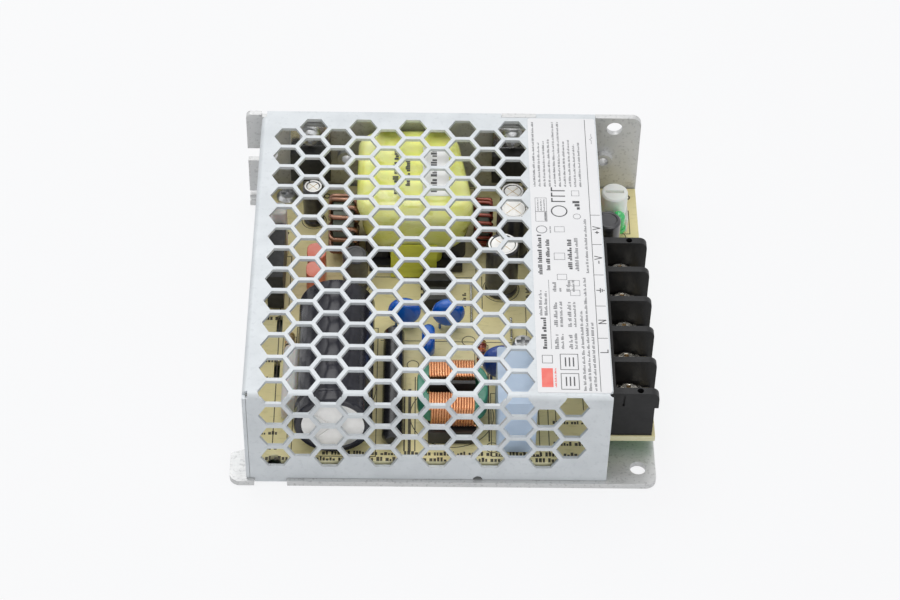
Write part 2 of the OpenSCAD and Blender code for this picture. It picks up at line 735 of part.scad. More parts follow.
// Small cans: beside the rectifier, by the primary choke, by the output rectifier, at the open end
module small_capacitors() {
  color([0.2, 0.2, 0.22]) {
    can_capacitor(x_rear(13), y_side(13.5), 5.2, 12, small_k);
    can_capacitor(x_rear(24), y_near(58.1), small_cap_d, 11, named_k);
    can_capacitor(x_rear(62.8), y_side(13.5), small_cap_d, 11, named_k);
    can_capacitor(x_end(8.9), y_strip(24.45), 6.4, 12, strip_small_k);
  }
}

module film_capacitor() {
  color([0.66, 0.77, 0.86]) translate([x_rear(57.7), y_near(3.9), board_top]) scale(named_k) {
    translate([0, 0, 0.4]) linear_extrude(film_cap_h - 0.4)
      rounded_rect([0, 0], [film_cap_l, film_cap_w], 0.7);
    for (y = [1.5, film_cap_w - 1.5]) translate([film_cap_l / 2, y, 0]) cylinder(h = 1, r = 0.4);
  }
}

// Dipped disc on two legs, its face turned to the angle a, sized by the factor k
module dipped_disc(x, y, a, d, t, k) {
  translate([x, y, board_top]) scale(k) rotate(a) {
    translate([0, 0, d / 2 + 1.4]) rotate([90, 0, 0]) rotate_extrude() {
      translate([0, -t / 2]) square([d / 2 - t / 2, t]);
      translate([d / 2 - t / 2, 0]) intersection() {
        circle(t / 2);
        translate([0, -t]) square([t, 2 * t]);
      }
    }
    for (s = [-1, 1]) translate([s * d / 4, 0, 0]) cylinder(h = 2.6, r = 0.35);
  }
}

module disc_capacitors() {
  color(cap_blue) {
    dipped_disc(x_rear(36.1), y_near(44.1), 0, disc_d, disc_t, named_k);
    dipped_disc(x_rear(46.7), y_near(43.9), 0, disc_d, disc_t, named_k);
    dipped_disc(x_rear(41.9), y_near(34.4), 90, disc_d, disc_t, named_k);
  }
}

module varistor() {
  color([0.10, 0.28, 0.70]) dipped_disc(x_rear(59.3), y_near(27), 0, 9.6, 4, small_k);
}

module sleeved_fuse() {
  r = 2.5;
  l = 35.8;
  color([0.13, 0.13, 0.14]) translate([x_rear(33.7), y_near(5), board_top]) scale(small_k) {
    translate([0, 0, r + fit]) rotate([-90, 0, 0]) rotate_extrude()
      polygon([[0, 0], [1.4, 0], [r, 1.6], [r, l - 1.6], [1.4, l], [0, l]]);
    for (y = [r, l - r]) translate([0, y, 0]) cylinder(h = 1, r = 0.5);
  }
}

// Two red dipped film capacitors side by side
module dipped_capacitor() {
  color([0.83, 0.33, 0.24]) for (y = [54.2, 60.5])
    translate([x_rear(14.5), y_near(y), board_top]) scale(small_k) {
      translate([0, 0, 1]) linear_extrude(8.5) rounded_rect([-2.3, -2.7], [2.3, 2.7], 1.9);
      for (s = [-1, 1]) translate([0, s * 1.6, 0]) cylinder(h = 1.5, r = 0.35);
    }
}

// ---------------------------------------------------------------- chokes

choke_x = x_rear(47.5);
choke_y = y_near(15.3);
choke_z = board_top + 2.6 + wire_t;
choke_at = [choke_x, choke_y, board_top];

// Ring with a square section, standing on z = 0
module ring(r_out, r_in, h) {
  difference() {
    cylinder(h = h, r = r_out);
    translate([0, 0, -1]) cylinder(h = h + 2, r = r_in);
  }
}

module choke_core() {
  color([0.16, 0.50, 0.36]) sized(named_k, choke_at)
    translate([choke_x, choke_y, choke_z]) ring(choke_d / 2, choke_d / 4, choke_h);
}

// One layer of wire round part of a ring core: the sleeve of turns over an angle, middle at +Y
module winding_sleeve(r_out, r_in, h, angle) {
  rotate(90 - angle / 2) rotate_extrude(angle = angle) difference() {
    translate([r_in - wire_t - run, -wire_t - run])
      square([r_out - r_in + 2 * wire_t + 2 * run, h + 2 * wire_t + 2 * run]);
    translate([r_in - run, -run]) square([r_out - r_in + 2 * run, h + 2 * run]);
  }
}

module choke_windings() {
  color(copper) sized(named_k, choke_at) translate([choke_x, choke_y, choke_z])
    for (a = [0, 180]) rotate(a) winding_sleeve(choke_d / 2, choke_d / 4, choke_h, 96);
}

// Base plate with four pins, and the divider between the two windings
module choke_base() {
  h = choke_h + 2 * wire_t;
  color(black) sized(named_k, choke_at) translate([choke_x, choke_y, 0]) {
    block([-5.6, -9, board_top + 0.4], [5.6, 9, board_top + 2.5]);
    block([-2.2, -0.5, board_top + 2.5], [2.2, 0.5, board_top + 2.6 + h]);
    for (x = [-4, 4], y = [-7.5, 7.5]) translate([x, y, board_top]) cylinder(h = 1, d = 0.9);
  }
}

// Ring chokes that stand on edge: place, core radii and width
primary_choke = [x_rear(20.9), y_side(22.5), 6.4, 3.4, 5.2];
output_choke = [x_rear(55.4), y_side(20), 5.2, 2.9, 3];

module upright(c) {
  translate([c[0], c[1], board_top]) scale(small_k)
    translate([-c[4] / 2, 0, c[2] + wire_t + 2 * run]) rotate([0, 90, 0]) children();
}

module upright_core(c) {
  upright(c) ring(c[2], c[3], c[4]);
}

module upright_winding(c) {
  upright(c) rotate(-90) winding_sleeve(c[2], c[3], c[4], 300);
}

module primary_choke_core() {
  color([0.30, 0.32, 0.30]) upright_core(primary_choke);
}

module primary_choke_winding() {
  color(copper) upright_winding(primary_choke);
}

module output_choke_core() {
  color([0.55, 0.55, 0.30]) upright_core(output_choke);
}

module output_choke_winding() {
  color([0.42, 0.14, 0.10]) upright_winding(output_choke);
}

// ---------------------------------------------------------------- semiconductors

// Middles of the two devices on the side wall, the height of their screws, and the thickness of their
// insulating pads and metal tabs
device_at = [x_rear(12), x_rear(62.8)];
device_screw_z = board_top + 18.2 * small_k;
pad_t = 0.25;
tab_t = 1.3;

// Three-legged device: plastic body, metal tab against the wall, legs down to the board
module tab_device(x) {
  z = 5.4;
  color([0.18, 0.18, 0.19]) difference() {
    translate([x, wall_in, board_top]) scale(small_k) {
      block([-5, -4.5 - pad_t, z], [5, -pad_t, z + 9.2]);
      block([-5, -tab_t - pad_t, z], [5, -pad_t, z + 15.6]);
      for (i = [-1 : 1]) translate([2.54 * i, 0, 0])
        block([-0.4, -2.9 - pad_t, 0], [0.4, -2.4 - pad_t, z]);
    }
    bar_y(x, wall_in - 6, wall_in + 1, device_screw_z, 1.8 * small_k);
  }
}

module power_transistor() {
  tab_device(device_at[0]);
}

module output_rectifier() {
  tab_device(device_at[1]);
}

// Screws through the tabs into the side wall; their insulating pads stay on the wall
module device_screws() {
  seat = wall_in - (tab_t + pad_t) * small_k;
  color(zinc) for (x = device_at) {
    translate([x, seat, device_screw_z]) rotate([90, 0, 0]) pan_screw(2.6 * small_k, 1.8 * small_k, eps);
    bar_y(x, seat, side_y - 0.2, device_screw_z, tap_d / 2 - run);
  }
}

module bridge_rectifier() {
  color([0.15, 0.15, 0.16]) translate([x_rear(2.9), y_near(48.8), board_top]) scale(small_k) {
    block([0, 0, 1.2], [3.9, 18.4, 12]);
    for (i = [0 : 3]) translate([1.95, 2 + 4.8 * i, 0]) cylinder(h = 1.5, r = 0.5);
  }
}

module optocouplers() {
  color([0.15, 0.15, 0.16]) for (y = [51.8, 58.3])
    translate([x_rear(43.8), y_near(y), board_top]) scale(small_k) {
      block([-3.2, -2.2, 0.5], [3.2, 2.2, 4]);
      for (sx = [-1, 1], sy = [-1, 1]) translate([sx * 3.5, sy * 1.27, 0])
        block([-0.3, -0.4, 0], [0.3, 0.4, 2.2]);
    }
}

// ---------------------------------------------------------------- small parts

// Axial resistor along Y
module resistor(x, y) {
  translate([x, y, board_top]) scale(small_k) {
    translate([0, 0, 1.3]) rotate([90, 0, 0]) {
      for (s = [-1, 1]) translate([0, 0, s * 2.4 - 0.7]) cylinder(h = 1.4, r = 1.2);
      translate([0, 0, -2]) cylinder(h = 4, r = 1);
      translate([0, 0, -4.4]) cylinder(h = 8.8, r = 0.3);
    }
    for (s = [-1, 1]) translate([0, s * 4.4, 0]) cylinder(h = 1.6, r = 0.3);
  }
}

module resistors() {
  color([0.72, 0.60, 0.42]) {
    resistor(x_rear(54.7), y_near(34.6));
    resistor(x_rear(8.6), y_near(36.7));
    resistor(x_rear(69.5), y_near(50.5));
    resistor(x_rear(74), y_near(41.5));
  }
}

// Bare wire links lying on the board along Y: place and length
module jumper_wires() {
  color([0.85, 0.85, 0.83]) for (p = [[52.4, 44.9, 13.6], [62, 40, 6.4]])
    translate([x_rear(p[0]), y_near(p[1]), board_top]) scale(small_k) {
      bar_y(0, 0, p[2], 0.6, 0.32);
      for (y = [0, p[2]]) translate([0, y, 0]) cylinder(h = 0.92, r = 0.32);
    }
}

trimmer_body_h = trimmer_h * 0.42;
trimmer_at = [x_end(6.6), y_strip(13), board_top];

module adjuster_body() {
  color([0.92, 0.92, 0.90]) translate(trimmer_at) scale(strip_small_k) difference() {
    linear_extrude(trimmer_body_h)
      rounded_rect([-trimmer_w / 2, -trimmer_w / 2], [trimmer_w / 2, trimmer_w / 2], 0.5);
    translate([0, 0, 0.8]) cylinder(h = trimmer_body_h, r = 1.5 + run);
  }
}

module adjuster_rotor() {
  z = trimmer_body_h + run;
  color([0.82, 0.82, 0.75]) translate(trimmer_at) scale(strip_small_k) difference() {
    union() {
      translate([0, 0, 1]) cylinder(h = trimmer_body_h, r = 1.5);
      translate([0, 0, z]) cylinder(h = trimmer_h - z - 0.4, d = trimmer_d);
      translate([0, 0, trimmer_h - 0.4])
        cylinder(h = 0.4, r1 = trimmer_d / 2, r2 = trimmer_d / 2 - 0.4);
    }
    translate([-2.3, -0.5, trimmer_h - 0.9]) cube([4.6, 1, 2]);
  }
}

module indicator_lamp() {
  r = lamp_d / 2;
  color([0.25, 0.78, 0.36]) translate([x_end(5.6), y_strip(18.6), board_top]) scale(strip_small_k) {
    translate([0, 0, 3]) cylinder(h = 1, r = r + 0.35);
    translate([0, 0, 3]) cylinder(h = 4.2, r = r);
    translate([0, 0, 7.2]) sphere(r);
    for (s = [-1, 1]) translate([0, s, 0]) cylinder(h = 3.5, r = 0.28);
  }
}

// ---------------------------------------------------------------- nodes

chassis_base();
chassis_side_wall();
chassis_rear_ear();
mesh_cover_top();
mesh_cover_near_wall();
mesh_cover_rear_wall();
cover_screw();
rating_label();
insulation_sheet();
circuit_board();
board_screws();
terminal_block();
terminal_plates();
clamp_washer(1);  // clamp_washer_1
clamp_washer(2);  // clamp_washer_2
clamp_washer(3);  // clamp_washer_3
clamp_washer(4);  // clamp_washer_4
clamp_washer(5);  // clamp_washer_5
terminal_screw(1);  // terminal_screw_1
terminal_screw(2);  // terminal_screw_2
terminal_screw(3);  // terminal_screw_3
terminal_screw(4);  // terminal_screw_4
terminal_screw(5);  // terminal_screw_5
transformer_core();
transformer_bobbin();
transformer_winding();
transformer_tape();
bulk_capacitor();
silicone_beads();
choke_core();
choke_windings();
choke_base();
film_capacitor();
disc_capacitors();
varistor();
sleeved_fuse();
output_capacitors();
small_capacitors();
primary_choke_core();
primary_choke_winding();
output_choke_core();
output_choke_winding();
dipped_capacitor();
bridge_rectifier();
power_transistor();
output_rectifier();
device_screws();
optocouplers();
resistors();
jumper_wires();
adjuster_body();
adjuster_rotor();
indicator_lamp();
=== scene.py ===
"""Looks of the mesh case power supply: dressed sheets, wound wire, print, light and camera.

Lengths are in millimetres, in the part's own frame, up to the point where a mesh is made.
The terminals are at the +X end, the near wall is on -Y and the solid side wall on +Y.
"""

import math
import random

import bmesh
import bpy
from mathutils import Matrix, Vector


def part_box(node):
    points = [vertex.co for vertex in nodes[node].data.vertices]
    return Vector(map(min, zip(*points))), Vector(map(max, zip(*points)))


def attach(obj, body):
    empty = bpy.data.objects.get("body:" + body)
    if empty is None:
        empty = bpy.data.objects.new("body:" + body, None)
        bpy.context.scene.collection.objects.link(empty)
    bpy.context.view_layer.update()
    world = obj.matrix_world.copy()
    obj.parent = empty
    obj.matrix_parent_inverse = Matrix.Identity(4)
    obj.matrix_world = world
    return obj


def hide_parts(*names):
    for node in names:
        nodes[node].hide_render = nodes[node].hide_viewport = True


MM = 0.001

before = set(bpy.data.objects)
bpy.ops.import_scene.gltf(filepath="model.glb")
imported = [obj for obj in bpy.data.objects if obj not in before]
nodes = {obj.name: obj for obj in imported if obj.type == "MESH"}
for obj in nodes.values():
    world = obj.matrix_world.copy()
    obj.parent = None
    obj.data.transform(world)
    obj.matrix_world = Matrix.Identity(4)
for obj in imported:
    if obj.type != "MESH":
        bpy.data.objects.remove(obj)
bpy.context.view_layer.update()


def low(node):
    """Lowest corner of a CAD node, in millimetres."""
    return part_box(node)[0] / MM


def high(node):
    """Highest corner of a CAD node, in millimetres."""
    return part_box(node)[1] / MM


# ---------------- materials

# Stretch of a noise, and spans of its values over which a second colour comes in
EVEN = (1, 1, 1)
SOFT = (0.35, 0.65)
SPECKS = (0.56, 0.66)
NOISE_DETAIL = 4.0
BAND_SHADE = 0.7


def tint(colour, scale, share=0.8, stretch=EVEN, span=SOFT):
    """A second colour that a noise mixes in, by up to share."""
    return colour, scale, share, stretch, span


def relief(scale, depth, stretch=EVEN):
    """Noise relief, its depth in millimetres."""
    return scale, depth, stretch


def finish(name, colour, rough=0.5, metal=0.0, tints=(), rough_by=None, bumps=(), **sockets):
    """A Principled material with procedural detail, all in object space.

    tints and bumps are lists of tint() and relief(). rough_by is (roughness, scale): a noise leads
    from rough to that roughness. sockets are further inputs of the shader.
    """
    material = bpy.data.materials.new(name)
    material.use_nodes = True
    tree = material.node_tree
    add = tree.nodes.new
    link = tree.links.new
    shader = tree.nodes["Principled BSDF"]
    shader.inputs["Base Color"].default_value = (*colour, 1)
    shader.inputs["Roughness"].default_value = rough
    shader.inputs["Metallic"].default_value = metal
    for socket, value in sockets.items():
        shader.inputs[socket.replace("_", " ")].default_value = value
    place = add("ShaderNodeTexCoord").outputs["Object"]

    def noise(scale, stretch):
        mapping = add("ShaderNodeMapping")
        mapping.inputs["Scale"].default_value = stretch
        link(place, mapping.inputs["Vector"])
        node = add("ShaderNodeTexNoise")
        node.inputs["Scale"].default_value = scale
        node.inputs["Detail"].default_value = NOISE_DETAIL
        link(mapping.outputs["Vector"], node.inputs["Vector"])
        return node.outputs["Fac"]

    def ranged(scale, stretch, span, least, most):
        """A noise whose values over span run from least to most."""
        ramp = add("ShaderNodeMapRange")
        ramp.inputs["From Min"].default_value = span[0]
        ramp.inputs["From Max"].default_value = span[1]
        ramp.inputs["To Min"].default_value = least
        ramp.inputs["To Max"].default_value = most
        link(noise(scale, stretch), ramp.inputs["Value"])
        return ramp.outputs["Result"]

    last = None
    for second, scale, share, stretch, span in tints:
        amount = ranged(scale, stretch, span, 0, share)
        mix = add("ShaderNodeMix")
        mix.data_type = "RGBA"
        mix.inputs["A"].default_value = (*colour, 1)
        mix.inputs["B"].default_value = (*second, 1)
        link(amount, mix.inputs["Factor"])
        if last is not None:
            link(last, mix.inputs["A"])
        last = mix.outputs["Result"]
    if last is not None:
        link(last, shader.inputs["Base Color"])
    if rough_by is not None:
        link(ranged(rough_by[1], EVEN, SOFT, rough, rough_by[0]), shader.inputs["Roughness"])
    normal = None
    for scale, depth, stretch in bumps:
        bump = add("ShaderNodeBump")
        bump.inputs["Distance"].default_value = depth * MM
        link(noise(scale, stretch), bump.inputs["Height"])
        if normal is not None:
            link(normal, bump.inputs["Normal"])
        normal = bump.outputs["Normal"]
    if normal is not None:
        link(normal, shader.inputs["Normal"])
    return material


zinc = finish(
    "zinc_cover", (0.63, 0.66, 0.68), 0.55, 0.25,
    tints=[tint((0.70, 0.73, 0.75), 160), tint((0.54, 0.57, 0.59), 900, 0.35, span=SPECKS)],
    rough_by=(0.62, 300), bumps=[relief(2600, 0.012), relief(420, 0.01)])
aluminium = finish(
    "chassis_sheet", (0.64, 0.64, 0.635), 0.36, 0.45,
    tints=[tint((0.57, 0.58, 0.58), 240, 0.6, (1, 8, 1)),
           tint((0.40, 0.40, 0.40), 1500, 0.6, span=SPECKS)],
    rough_by=(0.48, 500), bumps=[relief(1500, 0.012), relief(260, 0.02, (1, 6, 1))])
screw_zinc = finish(
    "zinc_screw", (0.62, 0.63, 0.64), 0.26, 1.0,
    tints=[tint((0.50, 0.50, 0.50), 700, 0.6)], rough_by=(0.42, 900), bumps=[relief(2500, 0.01)])
nickel = finish(
    "nickel_screw", (0.97, 0.94, 0.86), 0.18, 1.0,
    tints=[tint((0.82, 0.74, 0.58), 600, 0.5)], rough_by=(0.32, 900), bumps=[relief(2200, 0.01)])
# Nickel darkened to brown: painted shade for the recesses of screw heads and the grooves on can
# tops
painted_recess_shade = finish(
    "nickel_painted_recess_shade", (0.74, 0.62, 0.44), 0.3, 1.0,
    tints=[tint((0.36, 0.27, 0.15), 900, 0.7)], bumps=[relief(2200, 0.01)])
brass = finish(
    "tinned_brass", (0.62, 0.54, 0.36), 0.28, 1.0,
    tints=[tint((0.48, 0.40, 0.24), 500, 0.7)], bumps=[relief(1800, 0.01)])
can_metal = finish(
    "can_aluminium", (0.90, 0.89, 0.87), 0.34, 0.7,
    tints=[tint((0.80, 0.79, 0.77), 500, 0.6)], rough_by=(0.42, 1200), bumps=[relief(1500, 0.01)])
tinned = finish(
    "tinned_wire", (0.80, 0.80, 0.79), 0.26, 1.0,
    tints=[tint((0.56, 0.56, 0.55), 900, 0.6)], bumps=[relief(2600, 0.01)])
film = finish(
    "label_film", (0.90, 0.895, 0.90), 0.40,
    tints=[tint((0.86, 0.855, 0.865), 90, 0.6)], rough_by=(0.5, 400), bumps=[relief(1300, 0.004)],
    Specular_IOR_Level=0.45)
ink = finish(
    "label_ink", (0.055, 0.055, 0.06), 0.48,
    tints=[tint((0.10, 0.10, 0.105), 900, 0.7)], bumps=[relief(2500, 0.004)])
fine_ink = finish(
    "label_fine_ink", (0.20, 0.20, 0.21), 0.5,
    tints=[tint((0.42, 0.42, 0.43), 1800)], bumps=[relief(2500, 0.004)])
red_ink = finish(
    "label_red", (0.92, 0.16, 0.13), 0.45,
    tints=[tint((0.94, 0.25, 0.20), 500, 0.7)], bumps=[relief(2500, 0.004)])
sheet_film = finish(
    "insulation_film", (0.80, 0.81, 0.78), 0.35,
    tints=[tint((0.70, 0.71, 0.68), 120, 0.6)], bumps=[relief(500, 0.02)])
board_top_face = finish(
    "board_print_side", (0.93, 0.82, 0.42), 0.42,
    tints=[tint((0.96, 0.87, 0.50), 60),
           tint((0.70, 0.62, 0.26), 350, 0.35, (1, 3, 1), span=SPECKS)],
    rough_by=(0.55, 300), bumps=[relief(900, 0.02)])
board_edge_face = finish(
    "board_edge", (0.76, 0.72, 0.44), 0.5,
    tints=[tint((0.88, 0.84, 0.62), 700, stretch=(1, 1, 8)),
           tint((0.62, 0.56, 0.26), 1500, 0.4, (1, 1, 10), span=SPECKS)],
    bumps=[relief(1600, 0.04, (1, 1, 6))])
board_under_face = finish(
    "board_copper_side", (0.20, 0.50, 0.16), 0.35,
    tints=[tint((0.36, 0.68, 0.24), 90, 0.9, (1, 3, 1), span=SPECKS)], bumps=[relief(200, 0.03)])
board_ink = finish(
    "board_ink", (0.045, 0.04, 0.03), 0.55,
    tints=[tint((0.14, 0.12, 0.07), 1200, 0.7)], bumps=[relief(2500, 0.004)])
nylon = finish(
    "terminal_nylon", (0.008, 0.008, 0.009), 0.38,
    tints=[tint((0.013, 0.013, 0.014), 300)], rough_by=(0.50, 700),
    bumps=[relief(2400, 0.02), relief(180, 0.02)], Specular_IOR_Level=0.33)
phenolic = finish(
    "black_moulding", (0.018, 0.018, 0.019), 0.4,
    tints=[tint((0.035, 0.033, 0.03), 500)], bumps=[relief(1500, 0.02)])
epoxy = finish(
    "black_epoxy", (0.022, 0.022, 0.023), 0.5,
    tints=[tint((0.04, 0.04, 0.04), 900)], bumps=[relief(2600, 0.02)])
ferrite = finish(
    "ferrite", (0.03, 0.03, 0.032), 0.45,
    tints=[tint((0.06, 0.058, 0.055), 1100, span=SPECKS)], bumps=[relief(2000, 0.03)])
tape = finish(
    "yellow_tape", (0.89, 0.91, 0.19), 0.24,
    tints=[tint((0.93, 0.94, 0.40), 70, stretch=(1, 1, 2)),
           tint((0.72, 0.75, 0.08), 260, 0.5, (1, 1, 5), span=SPECKS)],
    rough_by=(0.38, 250), bumps=[relief(170, 0.10, (1, 1, 3)), relief(900, 0.02, (1, 1, 6))],
    Subsurface_Weight=0.12, Subsurface_Scale=0.002, Coat_Weight=0.7, Coat_Roughness=0.15)
winding_tape = finish(
    "winding_tape", (0.80, 0.80, 0.09), 0.3,
    tints=[tint((0.60, 0.60, 0.05), 120, stretch=(1, 1, 4))],
    bumps=[relief(260, 0.12, (0.3, 0.3, 5))], Coat_Weight=0.3, Coat_Roughness=0.2)
sleeve = finish(
    "capacitor_sleeve", (0.018, 0.018, 0.026), 0.2,
    tints=[tint((0.03, 0.03, 0.042), 120, stretch=(1, 3, 1))],
    bumps=[relief(220, 0.05, (1, 4, 1)), relief(1600, 0.01)], Specular_IOR_Level=0.35,
    Coat_Weight=0.1, Coat_Roughness=0.12)
small_sleeve = finish(
    "small_can_sleeve", (0.03, 0.03, 0.036), 0.28,
    tints=[tint((0.055, 0.055, 0.06), 400, stretch=(1, 1, 3))],
    bumps=[relief(500, 0.03, (1, 1, 3))], Coat_Weight=0.4, Coat_Roughness=0.15)
silicone = finish(
    "white_silicone", (0.80, 0.78, 0.75), 0.34,
    tints=[tint((0.70, 0.68, 0.64), 260)], bumps=[relief(420, 0.08)], Subsurface_Weight=0.25,
    Subsurface_Scale=0.003)
green_core = finish(
    "green_ring", (0.035, 0.24, 0.15), 0.32,
    tints=[tint((0.06, 0.33, 0.21), 400)], bumps=[relief(900, 0.03)], Coat_Weight=0.4)
grey_core = finish(
    "grey_ring", (0.10, 0.12, 0.09), 0.4,
    tints=[tint((0.16, 0.18, 0.14), 500)], bumps=[relief(900, 0.03)])
copper = finish(
    "copper_wire", (0.90, 0.45, 0.22), 0.24, 0.8,
    tints=[tint((0.74, 0.32, 0.14), 350)], rough_by=(0.36, 700), bumps=[relief(1800, 0.01)],
    Coat_Weight=0.6, Coat_Roughness=0.1)
brown_copper = finish(
    "brown_copper_wire", (0.36, 0.19, 0.12), 0.26, 0.7,
    tints=[tint((0.26, 0.12, 0.07), 350)], rough_by=(0.36, 700), bumps=[relief(1800, 0.01)],
    Coat_Weight=0.6, Coat_Roughness=0.1)
red_wire = finish(
    "dark_red_wire", (0.24, 0.035, 0.02), 0.26, 0.4,
    tints=[tint((0.36, 0.07, 0.03), 350)], bumps=[relief(1800, 0.01)], Coat_Weight=0.6)
pale_blue = finish(
    "pale_blue_box", (0.56, 0.69, 0.86), 0.34,
    tints=[tint((0.62, 0.74, 0.90), 150)], rough_by=(0.46, 500), bumps=[relief(700, 0.02)])
blue = finish(
    "blue_dip", (0.002, 0.12, 0.66), 0.16,
    tints=[tint((0.004, 0.18, 0.78), 300)], bumps=[relief(260, 0.10)], Coat_Weight=0.7,
    Coat_Roughness=0.08)
deep_blue = finish(
    "varistor_dip", (0.01, 0.06, 0.36), 0.25,
    tints=[tint((0.02, 0.09, 0.45), 300)], bumps=[relief(260, 0.10)], Coat_Weight=0.6)
red = finish(
    "red_dip", (0.80, 0.14, 0.07), 0.28,
    tints=[tint((0.86, 0.26, 0.16), 260)], bumps=[relief(240, 0.10)], Coat_Weight=0.5,
    Coat_Roughness=0.12)
shrink = finish(
    "shrink_sleeve", (0.014, 0.014, 0.016), 0.26,
    tints=[tint((0.026, 0.026, 0.03), 300, stretch=(1, 4, 1))],
    bumps=[relief(300, 0.08, (1, 4, 1))], Coat_Weight=0.4, Coat_Roughness=0.2)
lacquer = finish(
    "resistor_lacquer", (0.56, 0.40, 0.20), 0.35,
    tints=[tint((0.64, 0.48, 0.27), 600)], bumps=[relief(900, 0.03)], Coat_Weight=0.4)
white_plastic = finish(
    "white_moulding", (0.84, 0.84, 0.80), 0.4,
    tints=[tint((0.76, 0.76, 0.72), 300)], bumps=[relief(1300, 0.02)])
cream_plastic = finish(
    "cream_moulding", (0.88, 0.88, 0.82), 0.36,
    tints=[tint((0.93, 0.93, 0.88), 260)], bumps=[relief(1300, 0.02)], Subsurface_Weight=0.1)
lens = finish(
    "green_lens", (0.06, 0.80, 0.20), 0.16,
    tints=[tint((0.10, 0.88, 0.30), 300)], bumps=[relief(700, 0.02)], Transmission_Weight=0.35,
    Subsurface_Weight=0.2, Subsurface_Scale=0.002, Coat_Weight=0.5)
BAND_COLOURS = [
    finish(f"band_{word}", colour, 0.4, tints=[tint(tuple(c * BAND_SHADE for c in colour), 900)],
           bumps=[relief(1500, 0.01)])
    for word, colour in [("brown", (0.09, 0.03, 0.015)), ("black", (0.012, 0.012, 0.012)),
                         ("orange", (0.70, 0.18, 0.02)), ("gold", (0.46, 0.30, 0.07))]
]

# ---------------- helpers for pieces

SHARP = math.radians(30)
FLAT = math.radians(0.5)
WELD = 0.003
ON_SEAM = 0.02


def put(name, mesh, materials, replaced=(), body="root"):
    """Links a finished mesh as a piece that rides on a body and takes a material slot."""
    piece = bpy.data.objects.new(name, mesh)
    bpy.context.scene.collection.objects.link(piece)
    for material in materials:
        mesh.materials.append(material)
    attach(piece, body)
    if replaced:
        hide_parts(*replaced)
    return piece


def round_edges(piece, width, segments=2, limit="WEIGHT"):
    """Rounds the weighted edges, or with limit ANGLE the sharp ones; flat faces stay flat."""
    bevel = piece.modifiers.new("edge", "BEVEL")
    bevel.limit_method = limit
    bevel.width = width * MM
    bevel.segments = segments
    bevel.use_clamp_overlap = True
    bevel.miter_outer = "MITER_ARC"
    normal = piece.modifiers.new("normal", "WEIGHTED_NORMAL")
    normal.keep_sharp = True


def copy_of(names, seams, merge):
    """One clean mesh from CAD nodes: welded, with its sharp edges weighted for rounding.

    seams: (axis, value) planes where two nodes of one sheet touch; their edges stay unrounded.
    merge: joins the triangles of each flat face.
    """
    bm = bmesh.new()
    for name in names:
        part = bmesh.new()
        part.from_mesh(nodes[name].data)
        bmesh.ops.remove_doubles(part, verts=part.verts, dist=WELD * MM)
        bmesh.ops.dissolve_degenerate(part, edges=part.edges, dist=WELD * MM)
        if merge:
            bmesh.ops.dissolve_limit(part, angle_limit=FLAT, verts=part.verts, edges=part.edges)
        mesh = bpy.data.meshes.new("part")
        part.to_mesh(mesh)
        part.free()
        bm.from_mesh(mesh)
        bpy.data.meshes.remove(mesh)
    weight = bm.edges.layers.float.new("bevel_weight_edge")
    for edge in bm.edges:
        if len(edge.link_faces) != 2 or edge.calc_face_angle(0) < SHARP:
            continue
        if any(all(abs(v.co[axis] / MM - value) < ON_SEAM for v in edge.verts)
               for axis, value in seams):
            edge.smooth = False
        else:
            edge[weight] = 1.0
    for face in bm.faces:
        face.smooth = True
    mesh = bpy.data.meshes.new(names[0])
    bm.to_mesh(mesh)
    bm.free()
    return mesh


def dress(name, materials, width=0.12, rule=None, replaced=None, seams=(), body="root",
          segments=2, merge=True):
    """A CAD node's form with rounded edges and its own materials.

    width and segments are the rounding's. rule(centre, normal) gives a face's material number.
    replaced names the nodes where there are several.
    """
    replaced = replaced or [name]
    mesh = copy_of(replaced, seams, merge)
    if rule:
        for face in mesh.polygons:
            face.material_index = rule(face.center / MM, face.normal)
    piece = put(name + "_dressed", mesh, materials, replaced, body)
    if width:
        round_edges(piece, width, segments)
    return piece


def is_wall(normal):
    """Whether a face stands rather than lies."""
    return abs(normal.z) < 0.5


# The functions below give a part of a mesh: (vertices, faces), in millimetres


def loft(levels):
    """A skin through rings of equal length, with a flat face at each end."""
    count = len(levels[0])
    vertices = [p for level in levels for p in level]
    faces = []
    for n in range(len(levels) - 1):
        for i in range(count):
            k = (i + 1) % count
            faces.append([n * count + i, n * count + k, (n + 1) * count + k, (n + 1) * count + i])
    faces.append(list(range(count))[::-1])
    faces.append([(len(levels) - 1) * count + i for i in range(count)])
    return vertices, faces


def hoop(sections):
    """A skin through sections of four points each, closed on itself."""
    vertices = [p for section in sections for p in section]
    faces = []
    for n in range(len(sections)):
        a, b = 4 * n, 4 * ((n + 1) % len(sections))
        for i in range(4):
            k = (i + 1) % 4
            faces.append([a + i, b + i, b + k, a + k])
    return vertices, faces


def tube(points, radius, sides=8):
    """Round wire along points."""
    levels = []
    side = None
    for i, point in enumerate(points):
        along = (points[min(i + 1, len(points) - 1)] - points[max(i - 1, 0)]).normalized()
        if side is None:
            side = along.orthogonal().normalized()
        side = (side - along * side.dot(along)).normalized()
        other = along.cross(side)
        angles = [2 * math.pi * k / sides for k in range(sides)]
        levels.append([point + radius * (math.cos(a) * side + math.sin(a) * other) for a in angles])
    return loft(levels)


def box_part(centre, size, angle=0.0):
    """A box turned by angle about Z."""
    turned = Matrix.Rotation(angle, 3, "Z")
    half = Vector(size) / 2
    corners = [(x, y, z) for x in (-1, 1) for y in (-1, 1) for z in (-1, 1)]
    vertices = [Vector(centre) + turned @ Vector((x * half.x, y * half.y, z * half.z))
                for x, y, z in corners]
    faces = [[0, 1, 3, 2], [4, 6, 7, 5], [0, 4, 5, 1], [2, 3, 7, 6], [0, 2, 6, 4], [1, 5, 7, 3]]
    return vertices, faces


